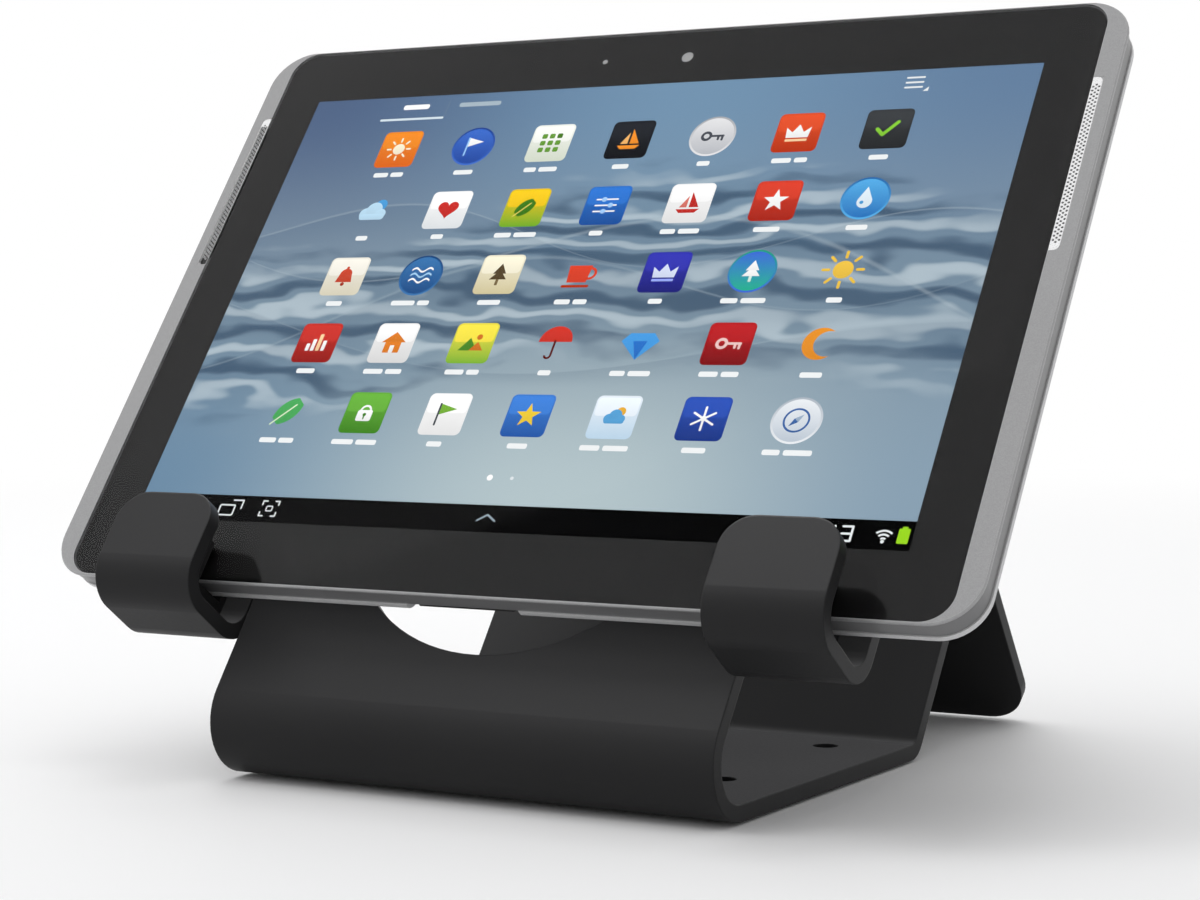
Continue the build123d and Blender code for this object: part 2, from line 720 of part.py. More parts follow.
# Rear shell with its lip, the posts for the screws and the notch for the dock connector
board_top_rise = cavity_height / 2 - board_top_gap
board_bottom_rise = board_top_rise - board_height
chassis_width = cavity_width - 2 * chassis_side_gap
chassis_height = cavity_height - 2 * chassis_end_gap
screw_x = cavity_width / 2 - screw_side_inset
screw_rise = board_bottom_rise - screw_board_gap
screw_places = [(side * screw_x, row * screw_rise) for side in (-1, 1) for row in (-1, 1)]
rear_camera_rise = tablet_height / 2 - rear_camera_inset
shell_width = tablet_width - 2 * shell_inset
shell_height = tablet_height - 2 * shell_inset
shell_bottom = -shell_height / 2
notch_half = dock_notch_width / 2
notch_inner_half = dock_notch_inner_width / 2
with BuildPart() as rear_shell:
    with BuildSketch(depth_plane(band_rear_depth)):
        RectangleRounded(shell_width, shell_height, tablet_corner_radius - shell_inset)
    extrude(amount=band_rear_depth - tablet_thickness)
    back_edges = rear_shell.faces().sort_by(Axis((0, 0, 0), outward))[0].edges()
    fillet(back_edges, shell_edge_radius)
    with BuildSketch(depth_plane(band_rear_depth)):
        RectangleRounded(
            shell_width - 2 * shell_wall,
            shell_height - 2 * shell_wall,
            tablet_corner_radius - shell_inset - shell_wall,
        )
    extrude(amount=band_rear_depth - floor_depth, mode=Mode.SUBTRACT)
    with BuildSketch(depth_plane(chassis_rear_depth)):
        with Locations(*screw_places):
            Circle(screw_post_radius)
    extrude(amount=chassis_rear_depth - floor_depth)
    with BuildSketch(depth_plane(chassis_rear_depth)):
        with Locations(*screw_places):
            Circle(screw_shank_radius + screw_clearance)
    extrude(amount=chassis_rear_depth - floor_depth, mode=Mode.SUBTRACT)
    with BuildSketch(depth_plane(band_rear_depth)):
        with Locations((dock_x, shell_bottom)):
            Polygon(
                (-notch_half, -overrun),
                (notch_half, -overrun),
                (notch_half, 0),
                (notch_inner_half, dock_notch_depth),
                (-notch_inner_half, dock_notch_depth),
                (-notch_half, 0),
                align=None,
            )
        with Locations((0, rear_camera_rise)):
            Circle(camera_ring_radius + camera_ring_clearance)
    extrude(amount=band_rear_depth - tablet_thickness - overrun, mode=Mode.SUBTRACT)
rear_shell.part.label = "rear_shell"
export_step(rear_shell.part, "parts/rear_shell.step")

# Speakers: a box behind the chassis with a spout up to the grille
speaker_x = cavity_width / 2 - speaker_inset - speaker_width / 2
inner_front_depth = chassis_rear_depth + part_gap
inner_rear_depth = floor_depth - part_gap
spout_outer_x = speaker_pocket_x - spout_clearance
spout_rear_depth = band_rear_depth - spout_clearance
spout_inner_x = speaker_x + speaker_width / 2 - speaker_inset
for side_name, side in (("left", -1), ("right", 1)):
    with BuildPart() as speaker:
        with BuildSketch(depth_plane(inner_front_depth)):
            with Locations((side * speaker_x, grille_rise)):
                RectangleRounded(speaker_width, speaker_length, cell_corner_radius)
        extrude(amount=inner_front_depth - inner_rear_depth)
        with BuildSketch(depth_plane(spout_front_depth)):
            with Locations((side * (spout_outer_x + spout_inner_x) / 2, grille_rise)):
                Rectangle(spout_outer_x - spout_inner_x, spout_length)
        extrude(amount=spout_front_depth - spout_rear_depth)
        with BuildSketch(depth_plane(spout_front_depth)):
            with Locations((side * (spout_outer_x + spout_inner_x) / 2, grille_rise)):
                SlotOverall(spout_length - 2 * spout_slot_width, spout_slot_width, rotation=90)
        extrude(amount=-spout_slot_depth, mode=Mode.SUBTRACT)
    speaker.part.label = f"speaker_{side_name}"
    export_step(speaker.part, f"parts/speaker_{side_name}.step")

# Chassis plate behind the screen, with windows over the battery
cell_bottom = cell_bottom_margin - cavity_height / 2
cell_height = board_bottom_rise - cell_top_margin - cell_bottom
cell_rise = cell_bottom + cell_height / 2
cells_width = cavity_width - 2 * cell_side_margin
cell_width = (cells_width - cell_gap) / 2
window_width = (cells_width + chassis_rib_width) / chassis_window_columns - chassis_rib_width
window_height = (cell_height + chassis_rib_width) / chassis_window_rows - chassis_rib_width
flex_rise = board_bottom_rise - flex_board_gap
panel_rear_depth = panel_front_depth + panel_thickness
flex_front_depth = (chassis_front_depth + panel_rear_depth - flex_thickness) / 2
jack_notch_bottom = band_wall_rise - jack_body_length - part_gap
socket_notch_bottom = board_top_rise - card_socket_depth - part_gap
with BuildPart() as chassis_plate:
    with BuildSketch(depth_plane(chassis_front_depth)):
        RectangleRounded(chassis_width, chassis_height, chassis_corner_radius)
        with Locations((0, cell_rise)):
            with GridLocations(
                window_width + chassis_rib_width,
                window_height + chassis_rib_width,
                chassis_window_columns,
                chassis_window_rows,
            ):
                RectangleRounded(
                    window_width,
                    window_height,
                    chassis_corner_radius,
                    mode=Mode.SUBTRACT,
                )
        with Locations((flex_x, flex_rise)):
            Rectangle(flex_width + flex_tail, flex_slot_height, mode=Mode.SUBTRACT)
        with Locations((jack_x, (jack_notch_bottom + band_wall_rise) / 2)):
            Rectangle(
                jack_body_width + 2 * part_gap,
                band_wall_rise - jack_notch_bottom,
                mode=Mode.SUBTRACT,
            )
        with Locations((cover_recess_x, (socket_notch_bottom + band_wall_rise) / 2)):
            Rectangle(
                card_slot_length + 4 * part_gap,
                band_wall_rise - socket_notch_bottom,
                mode=Mode.SUBTRACT,
            )
        with Locations(*screw_places):
            Circle(screw_head_radius + screw_clearance, mode=Mode.SUBTRACT)
    extrude(amount=-chassis_thickness)
chassis_plate.part.label = "chassis_plate"
export_step(chassis_plate.part, "parts/chassis_plate.step")

# Screws that hold the chassis plate to the posts
with BuildPart() as chassis_screws:
    with BuildSketch(depth_plane(chassis_front_depth)):
        with Locations(*screw_places):
            Circle(screw_head_radius)
    extrude(amount=-chassis_thickness)
    with BuildSketch(depth_plane(chassis_rear_depth)):
        with Locations(*screw_places):
            Circle(screw_shank_radius)
    extrude(amount=chassis_rear_depth - floor_depth + part_gap)
chassis_screws.part.label = "chassis_screws"
export_step(chassis_screws.part, "parts/chassis_screws.step")

# Two flat cells, side by side
with BuildPart() as battery_pack:
    with BuildSketch(depth_plane(inner_front_depth)):
        with Locations((0, cell_rise)):
            with GridLocations(cell_width + cell_gap, cell_height, 2, 1):
                RectangleRounded(cell_width, cell_height, cell_corner_radius)
    extrude(amount=inner_front_depth - inner_rear_depth)
battery_pack.part.label = "battery_pack"
export_step(battery_pack.part, "parts/battery_pack.step")

# Main board along the top, with metal cans over its chips
board_front_depth = inner_rear_depth - board_thickness
board_middle_rise = (board_bottom_rise + board_top_rise) / 2
camera_notch = camera_module_width + 2 * camera_notch_margin
speaker_edge_x = speaker_x - speaker_width / 2
board_span = 2 * (speaker_edge_x - part_gap)
shield_x = cavity_width / 2 - shield_side_inset - shield_spacing / 2
shield_rise = board_bottom_rise + shield_bottom_inset
with BuildPart() as main_board:
    with BuildSketch(depth_plane(board_front_depth)):
        with Locations((0, board_middle_rise)):
            RectangleRounded(board_span, board_top_rise - board_bottom_rise, cell_corner_radius)
        with Locations((0, (rear_camera_rise - camera_notch / 2 + board_top_rise) / 2)):
            Rectangle(
                camera_notch,
                board_top_rise - rear_camera_rise + camera_notch / 2,
                mode=Mode.SUBTRACT,
            )
    extrude(amount=-board_thickness)
main_board.part.label = "main_board"
export_step(main_board.part, "parts/main_board.step")

with BuildPart() as board_shields:
    with BuildSketch(depth_plane(board_front_depth)):
        with Locations((-shield_x, shield_rise), (shield_x, shield_rise)):
            with GridLocations(shield_spacing, shield_width, 2, 1):
                RectangleRounded(shield_width, shield_width, shield_corner_radius)
    extrude(amount=shield_height)
board_shields.part.label = "board_shields"
export_step(board_shields.part, "parts/board_shields.step")

# Flat cable from the screen through the chassis plate to the board
flex_plane = Plane(
    origin=tablet_plane.from_local_coords(Vector(flex_x + flex_width / 2, flex_rise, 0)),
    x_dir=outward,
    z_dir=(-1, 0, 0),
)
flex_board_depth = board_front_depth - flex_thickness
flex_path = [
    Vector(-flex_front_depth, -flex_tail),
    Vector(-flex_front_depth, 0),
    Vector(-flex_board_depth, 0),
    Vector(-flex_board_depth, flex_tail),
]
with BuildPart() as display_cable:
    with BuildSketch(flex_plane):
        add(bent_section(flex_path, [flex_bend_radius, flex_bend_radius], flex_thickness))
    extrude(amount=flex_width)
display_cable.part.label = "display_cable"
export_step(display_cable.part, "parts/display_cable.step")

# Vibration motor, a coin with a smaller cap
motor_x = cavity_width / 2 - motor_side_inset
motor_rise = motor_bottom_inset - cavity_height / 2
with BuildPart() as vibration_motor:
    with BuildSketch(depth_plane(inner_rear_depth)):
        with Locations((motor_x, motor_rise)):
            Circle(motor_radius)
    extrude(amount=motor_thickness * motor_can_share)
    with BuildSketch(depth_plane(inner_rear_depth)):
        with Locations((motor_x, motor_rise)):
            Circle(motor_radius * motor_can_share)
    extrude(amount=motor_thickness)
vibration_motor.part.label = "vibration_motor"
export_step(vibration_motor.part, "parts/vibration_motor.step")

# Camera and light sensor behind the glass
window_rear_depth = chassis_front_depth - part_gap / 2
mask_rear_depth = glass_thickness + mask_thickness
with BuildPart() as front_camera:
    with BuildSketch(depth_plane(mask_rear_depth)):
        with Locations(window_places["front_camera"]):
            RectangleRounded(front_camera_width, front_camera_width, front_camera_window_radius / 2)
    extrude(amount=mask_rear_depth - window_rear_depth)
    with BuildSketch(depth_plane(mask_rear_depth)):
        with Locations(window_places["front_camera"]):
            Circle(front_camera_window_radius - glass_clearance)
    extrude(amount=mask_thickness)
front_camera.part.label = "front_camera"
export_step(front_camera.part, "parts/front_camera.step")

with BuildPart() as light_sensor:
    with BuildSketch(depth_plane(mask_rear_depth)):
        with Locations(window_places["light_sensor"]):
            Rectangle(light_sensor_width, light_sensor_width)
    extrude(amount=mask_rear_depth - window_rear_depth)
    with BuildSketch(depth_plane(mask_rear_depth)):
        with Locations(window_places["light_sensor"]):
            Circle(light_sensor_window_radius - glass_clearance)
    extrude(amount=mask_thickness)
light_sensor.part.label = "light_sensor"
export_step(light_sensor.part, "parts/light_sensor.step")

# Rear camera: module, ring and window
camera_place = (0, rear_camera_rise)
ring_rear_depth = tablet_thickness + camera_ring_proud
camera_window_rear = ring_rear_depth - part_gap
with BuildPart() as rear_camera_ring:
    with BuildSketch(depth_plane(floor_depth)):
        with Locations(camera_place):
            Circle(camera_ring_radius)
            Circle(camera_ring_inner_radius, mode=Mode.SUBTRACT)
    extrude(amount=floor_depth - ring_rear_depth)
    with BuildSketch(depth_plane(floor_depth)):
        with Locations(camera_place):
            Circle(camera_ring_inner_radius)
            Circle(camera_ring_inner_radius - camera_ring_lip, mode=Mode.SUBTRACT)
    extrude(amount=floor_depth - camera_window_rear + camera_glass_thickness)
rear_camera_ring.part.label = "rear_camera_ring"
export_step(rear_camera_ring.part, "parts/rear_camera_ring.step")

with BuildPart() as rear_camera_glass:
    with BuildSketch(depth_plane(camera_window_rear - camera_glass_thickness)):
        with Locations(camera_place):
            Circle(camera_ring_inner_radius - camera_ring_clearance)
    extrude(amount=-camera_glass_thickness)
rear_camera_glass.part.label = "rear_camera_glass"
export_step(rear_camera_glass.part, "parts/rear_camera_glass.step")

with BuildPart() as rear_camera_module:
    with BuildSketch(depth_plane(inner_front_depth)):
        with Locations(camera_place):
            RectangleRounded(camera_module_width, camera_module_width, cell_corner_radius)
    extrude(amount=inner_front_depth - inner_rear_depth)
    with BuildSketch(depth_plane(inner_rear_depth)):
        with Locations(camera_place):
            Circle(camera_lens_radius)
    extrude(amount=inner_rear_depth - camera_window_rear + camera_glass_thickness + part_gap)
rear_camera_module.part.label = "rear_camera_module"
export_step(rear_camera_module.part, "parts/rear_camera_module.step")

# Dock connector in the notch of the rear shell
dock_front_depth = band_rear_depth + dock_clearance
dock_rear_depth = tablet_thickness - dock_clearance
dock_middle_depth = (dock_front_depth + dock_rear_depth) / 2
dock_face_rise = shell_bottom + dock_recess
dock_body_length = dock_notch_depth - dock_recess - dock_clearance
dock_body_width = dock_notch_inner_width
with BuildPart() as dock_connector:
    with BuildSketch(depth_plane(dock_front_depth)):
        with Locations((dock_x, dock_face_rise + dock_body_length / 2)):
            Rectangle(dock_body_width, dock_body_length)
    extrude(amount=dock_front_depth - dock_rear_depth)
    with BuildSketch(edge_plane.offset(dock_face_rise)):
        with Locations((dock_x, dock_middle_depth - edge_mid_depth)):
            RectangleRounded(dock_slot_width, dock_slot_height, dock_slot_height / 3)
    extrude(amount=dock_slot_depth, mode=Mode.SUBTRACT)
dock_connector.part.label = "dock_connector"
export_step(dock_connector.part, "parts/dock_connector.step")

# Headphone jack behind its hole in the top edge
jack_top_rise = band_wall_rise - part_gap / 2
with BuildPart() as headphone_jack:
    with BuildSketch(edge_plane.offset(jack_top_rise)):
        with Locations((jack_x, 0)):
            Rectangle(jack_body_width, 2 * (jack_hole_radius + part_gap))
    extrude(amount=-jack_body_length)
    with BuildSketch(edge_plane.offset(jack_top_rise)):
        with Locations((jack_x, 0)):
            Circle(jack_hole_radius)
    extrude(amount=-jack_hole_depth, mode=Mode.SUBTRACT)
headphone_jack.part.label = "headphone_jack"
export_step(headphone_jack.part, "parts/headphone_jack.step")

# Buttons on the top edge, each with a flange that keeps it in
button_top_rise = band_top_rise + button_proud
power_flange_top = band_wall_rise - power_button_rest_gap
volume_flange_top = band_wall_rise - volume_rest_gap
with BuildPart() as power_button:
    with BuildSketch(edge_plane.offset(power_flange_top)):
        with Locations((power_button_x, 0)):
            RectangleRounded(power_button_width, button_height, button_height / 3)
    extrude(amount=button_top_rise - power_flange_top)
    with BuildSketch(edge_plane.offset(power_flange_top)):
        with Locations((power_button_x, 0)):
            Rectangle(power_button_width + 2 * button_flange, button_height)
    extrude(amount=-button_flange_thickness)
power_button.part.label = "power_button"
export_step(power_button.part, "parts/power_button.step")

with BuildPart() as volume_rocker:
    with BuildSketch(edge_plane.offset(volume_flange_top)):
        with Locations((volume_x, 0)):
            RectangleRounded(volume_width, button_height, button_height / 3)
    extrude(amount=button_top_rise - volume_flange_top)
    with BuildSketch(edge_plane.offset(volume_flange_top)):
        with Locations((volume_x, 0)):
            Rectangle(volume_width + 2 * button_flange, button_height)
    extrude(amount=-button_flange_thickness)
    # Round bead that it rocks on
    pivot_rise = volume_flange_top - button_flange_thickness / 2
    pivot_plane = Plane(
        origin=tablet_plane.from_local_coords(Vector(volume_x, pivot_rise, -edge_mid_depth)),
        x_dir=across,
        z_dir=outward,
    )
    with BuildSketch(pivot_plane):
        Circle(volume_pivot_radius)
    extrude(amount=button_height / 2, both=True)
volume_rocker.part.label = "volume_rocker"
export_step(volume_rocker.part, "parts/volume_rocker.step")

# Switches on the board, one under the power button and two under the rocker
power_switch_rise = power_flange_top - button_flange_thickness - switch_play
volume_switch_rise = volume_flange_top - button_flange_thickness - switch_play
switch_height = board_front_depth - switch_front_depth
with BuildPart() as button_switches:
    with BuildSketch(depth_plane(board_front_depth)):
        with Locations((power_button_x, power_switch_rise - switch_depth / 2)):
            Rectangle(switch_width, switch_depth)
        with Locations((volume_x, volume_switch_rise - switch_depth / 2)):
            with GridLocations(volume_switch_spacing, switch_depth, 2, 1):
                Rectangle(switch_width, switch_depth)
    extrude(amount=switch_height)
button_switches.part.label = "button_switches"
export_step(button_switches.part, "parts/button_switches.step")

with BuildPart() as microphone:
    with BuildSketch(depth_plane(board_front_depth)):
        with Locations((microphone_x, board_top_rise - microphone_depth / 2)):
            Rectangle(microphone_width, microphone_depth)
    extrude(amount=switch_height)
microphone.part.label = "microphone"
export_step(microphone.part, "parts/microphone.step")

# Hinged cover of the memory card slot, its pin and the socket behind it
cover_plane = Plane(
    origin=tablet_plane.from_local_coords(Vector(cover_x, cover_pin_rise, -edge_mid_depth)),
    x_dir=across,
    z_dir=outward,
)
with BuildPart() as card_cover:
    with BuildSketch(cover_plane):
        Circle(cover_knuckle_radius)
        with Locations((cover_length / 2, cover_knuckle_radius - cover_thickness / 2)):
            Rectangle(cover_length, cover_thickness)
        Circle(cover_pin_radius + cover_pin_clearance, mode=Mode.SUBTRACT)
    extrude(amount=cover_height / 2, both=True)
card_cover.part.label = "card_cover"
export_step(card_cover.part, "parts/card_cover.step")

with BuildPart() as card_cover_pin:
    with BuildSketch(cover_plane):
        Circle(cover_pin_radius)
    extrude(amount=pin_length / 2, both=True)
card_cover_pin.part.label = "card_cover_pin"
export_step(card_cover_pin.part, "parts/card_cover_pin.step")

socket_top_rise = board_top_rise
with BuildPart() as card_socket:
    with BuildSketch(edge_plane.offset(socket_top_rise)):
        socket_half = board_front_depth - edge_mid_depth
        with Locations((cover_recess_x, (socket_half - card_socket_height / 2) / 2)):
            Rectangle(card_slot_length + 2 * part_gap, socket_half + card_socket_height / 2)
    extrude(amount=-card_socket_depth)
    with BuildSketch(edge_plane.offset(socket_top_rise)):
        with Locations((cover_recess_x, 0)):
            Rectangle(card_slot_length - 2 * part_gap, card_slot_height / 2)
    extrude(amount=-card_socket_depth + part_gap, mode=Mode.SUBTRACT)
card_socket.part.label = "card_socket"
export_step(card_socket.part, "parts/card_socket.step")
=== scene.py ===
import math
import random

import bmesh
import bpy
from mathutils import Matrix, Vector


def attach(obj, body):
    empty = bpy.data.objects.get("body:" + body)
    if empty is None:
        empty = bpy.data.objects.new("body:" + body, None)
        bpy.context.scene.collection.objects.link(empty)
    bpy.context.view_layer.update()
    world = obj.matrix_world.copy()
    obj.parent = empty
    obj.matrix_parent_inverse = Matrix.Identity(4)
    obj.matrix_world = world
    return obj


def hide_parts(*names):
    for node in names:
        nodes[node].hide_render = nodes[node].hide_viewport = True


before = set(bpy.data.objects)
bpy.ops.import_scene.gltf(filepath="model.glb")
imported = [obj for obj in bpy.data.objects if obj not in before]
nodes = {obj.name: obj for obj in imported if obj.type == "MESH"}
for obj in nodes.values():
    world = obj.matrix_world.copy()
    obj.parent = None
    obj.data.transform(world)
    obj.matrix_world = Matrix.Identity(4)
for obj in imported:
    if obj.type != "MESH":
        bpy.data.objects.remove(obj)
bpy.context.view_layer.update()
scene = bpy.context.scene
print("frame loaded,", len(nodes), "nodes")

# Lengths below are in millimetres, in one of two places: the stand's own (X, Y, Z),
# or the tablet's (x across, up along the glass, out of the glass)
mm = 0.001
leanUp, leanBack = 0.8090170, 0.5877853
tabletPlace = Matrix((
    (mm, 0, 0, 0),
    (0, leanBack * mm, -leanUp * mm, -12.353 * mm),
    (0, leanUp * mm, leanBack * mm, 119.992 * mm),
    (0, 0, 0, 1),
))
standPlace = Matrix.Scale(mm, 4)


# Camera, at the photograph's viewing angle
cameraLook = {"place": (331.49, -579.10, 110.01), "turn": (87.46, 0, 29.75), "lens": 78.0,
              "sensor": 36, "nearest": 10}
cameraData = bpy.data.cameras.new("viewCamera")
cameraData.lens = cameraLook["lens"]
cameraData.sensor_width = cameraLook["sensor"]
cameraData.clip_start = cameraLook["nearest"] * mm
viewCamera = bpy.data.objects.new("viewCamera", cameraData)
viewCamera.location = Vector(cameraLook["place"]) * mm
viewCamera.rotation_euler = [math.radians(a) for a in cameraLook["turn"]]
scene.collection.objects.link(viewCamera)
scene.camera = viewCamera
scene.view_settings.view_transform = "Standard"


# The curve that turns a screen colour into Blender's linear colour
screenCurve = {"knee": 0.04045, "slope": 12.92, "shift": 0.055, "power": 2.4}


def paint(code, strength=1.0):
    # A screen colour such as 4d6282 as a linear one
    shift, power = screenCurve["shift"], screenCurve["power"]
    values = [int(code[i:i + 2], 16) / 255 for i in (0, 2, 4)]
    linear = [v / screenCurve["slope"] if v <= screenCurve["knee"] else ((v + shift) / (1 + shift)) ** power
              for v in values]
    return (*[v * strength for v in linear], 1.0)


# Shader helpers. Inside the shaders, sizes are in metres
def addNode(tree, kind, sockets=None, **settings):
    made = tree.nodes.new("ShaderNode" + kind)
    for key, value in settings.items():
        setattr(made, key, value)
    for key, value in (sockets or {}).items():
        if isinstance(value, bpy.types.NodeSocket):
            tree.links.new(value, made.inputs[key])
        else:
            made.inputs[key].default_value = value
    return made


def calc(tree, operation, a, b=0.0, c=0.0):
    return addNode(tree, "Math", {0: a, 1: b, 2: c}, operation=operation).outputs[0]


def swing(tree, value, amount, middle):
    # Lets a value from 0 to 1 swing by an amount round a middle
    return calc(tree, "MULTIPLY_ADD", calc(tree, "SUBTRACT", value, 0.5), amount, middle)


def blendColors(tree, factor, a, b):
    return addNode(tree, "Mix", {0: factor, 6: a, 7: b}, data_type="RGBA").outputs[2]


def remap(tree, value, fromLow, fromHigh, toLow=0.0, toHigh=1.0, kind="SMOOTHSTEP"):
    sockets = {0: value, 1: fromLow, 2: fromHigh, 3: toLow, 4: toHigh}
    return addNode(tree, "MapRange", sockets, interpolation_type=kind).outputs[0]


def texture(tree, kind, size, sockets, **settings):
    # A texture with cells of a given size, in the model's own coordinates unless a vector is given
    if "Vector" not in sockets:
        sockets = {"Vector": addNode(tree, "TexCoord").outputs["Object"], **sockets}
    scale = calc(tree, "DIVIDE", 1.0, size)
    return addNode(tree, "Tex" + kind, {"Scale": scale, **sockets}, **settings).outputs


def seenDirectly(tree):
    # 1 for what the camera, a reflection or the glass shows, and 0 for what only lights other things
    paths = addNode(tree, "LightPath").outputs
    bounced = calc(tree, "MAXIMUM", paths["Is Glossy Ray"], paths["Is Transmission Ray"])
    return calc(tree, "MAXIMUM", paths["Is Camera Ray"], bounced)


def startGroup(name, inputs, outputs):
    tree = bpy.data.node_groups.new(name, "ShaderNodeTree")
    for label, value in inputs.items():
        tree.interface.new_socket(
            name=label, in_out="INPUT", socket_type="NodeSocketFloat").default_value = value
    for label, kind in outputs.items():
        tree.interface.new_socket(name=label, in_out="OUTPUT", socket_type="NodeSocket" + kind)
    start = tree.nodes.new("NodeGroupInput")
    end = tree.nodes.new("NodeGroupOutput")
    return tree, start.outputs, end.inputs


def useGroup(tree, group, **values):
    return addNode(tree, "Group", values, node_tree=group).outputs


# Fine grain: small bumps of a given size, such as orange peel or moulded texture
fineGrain, given, result = startGroup(
    "fineGrain", {"Size": 0.001, "Detail": 2.0}, {"Height": "Float", "Mask": "Float"})
grain = texture(fineGrain, "Noise", given["Size"], {"Detail": given["Detail"], "Roughness": 0.55})[0]
fineGrain.links.new(grain, result["Height"])
fineGrain.links.new(remap(fineGrain, grain, 0.35, 0.65), result["Mask"])

# Edge mask, for wear and for a painted highlight along edges: where the surface turns sharply, and a normal that
# rounds the edge off
edgeWearAndHighlight, given, result = startGroup(
    "edgeWearAndHighlight", {"Width": 0.0005, "Low": 0.01, "High": 0.2}, {"Mask": "Float", "Normal": "Vector"})
rounded = addNode(edgeWearAndHighlight, "Bevel", {"Radius": given["Width"]}, samples=6).outputs[0]
straight = addNode(edgeWearAndHighlight, "NewGeometry").outputs["Normal"]
facing = addNode(edgeWearAndHighlight, "VectorMath", {0: rounded, 1: straight}, operation="DOT_PRODUCT")
turned = calc(edgeWearAndHighlight, "SUBTRACT", 1.0, facing.outputs["Value"])
edgeWearAndHighlight.links.new(remap(edgeWearAndHighlight, turned, given["Low"], given["High"]), result["Mask"])
edgeWearAndHighlight.links.new(rounded, result["Normal"])

# Slow drift: the slight unevenness of tone over a large face
slowDrift, given, result = startGroup("slowDrift", {"Size": 0.05, "Amount": 0.1}, {"Factor": "Float"})
drift = texture(slowDrift, "Noise", given["Size"], {"Detail": 3.0})[0]
slowDrift.links.new(swing(slowDrift, drift, given["Amount"], 1.0), result["Factor"])

# Brushed lines that run along X
brushedLines, given, result = startGroup("brushedLines", {"Spacing": 0.0002}, {"Height": "Float"})
place = addNode(brushedLines, "TexCoord").outputs["Object"]
stretched = addNode(brushedLines, "Mapping", {"Vector": place, "Scale": (0.025, 1.0, 1.0)}).outputs[0]
lines = texture(brushedLines, "Noise", given["Spacing"], {"Vector": stretched, "Detail": 2.0})[0]
brushedLines.links.new(lines, result["Height"])

# Dust that settles in small specks and loose patches on faces that look up
settledDust, given, result = startGroup(
    "settledDust", {"Speck": 0.0006, "Patch": 1 / 28, "Amount": 0.3}, {"Mask": "Float"})
specks = texture(settledDust, "Noise", given["Speck"], {"Detail": 3.0})[0]
patches = texture(settledDust, "Noise", given["Patch"], {"Detail": 2.0})[0]
normal = addNode(settledDust, "NewGeometry").outputs["Normal"]
upward = addNode(settledDust, "SeparateXYZ", {0: normal}).outputs[2]
mask = given["Amount"]
for value, low, high in ((specks, 0.58, 0.72), (upward, 0.2, 0.95), (patches, 0.35, 0.65)):
    mask = calc(settledDust, "MULTIPLY", mask, remap(settledDust, value, low, high))
settledDust.links.new(mask, result["Mask"])

# Metal flake under lacquer: tiny cells, each a little lighter or darker
metalFlake, given, result = startGroup("metalFlake", {"Size": 0.00025, "Amount": 0.1}, {"Factor": "Float"})
cells = texture(metalFlake, "Voronoi", given["Size"], {})["Color"]
lightness = addNode(metalFlake, "SeparateColor", {0: cells}).outputs[0]
metalFlake.links.new(swing(metalFlake, lightness, given["Amount"], 1.0), result["Factor"])

# Foam cells: open pores in a soft skin, and a mask of the pores for painted shade in them
foamCells, given, result = startGroup("foamCells", {"Size": 0.0006}, {"Height": "Float", "Mask": "Float"})
pores = texture(foamCells, "Voronoi", given["Size"], {}, feature="DISTANCE_TO_EDGE")[0]
foamCells.links.new(remap(foamCells, pores, 0.0, 0.25), result["Height"])
foamCells.links.new(remap(foamCells, pores, 0.05, 0.3, 1.0, 0.0), result["Mask"])
print("shader groups made")


# Materials, by the name of the slot that they fill
materials = {}


def startMaterial(name, values):
    material = bpy.data.materials.new(name)
    material.use_nodes = True
    materials[name] = material
    tree = material.node_tree
    shader = tree.nodes["Principled BSDF"]
    for key, value in values.items():
        shader.inputs[key].default_value = value
    return tree, shader


def scaleColor(tree, color, factor):
    return addNode(tree, "VectorMath", {0: color, "Scale": factor}, operation="SCALE").outputs[0]


# Finishes, each with the name of its slot in the record. Grain is its size, its height and its spread
# of roughness, and flake is its size and its strength
finishTones = {"dust": (0.3, 0.3, 0.29, 1), "poreShade": 0.35, "wearAndHighlightLift": 0.004}


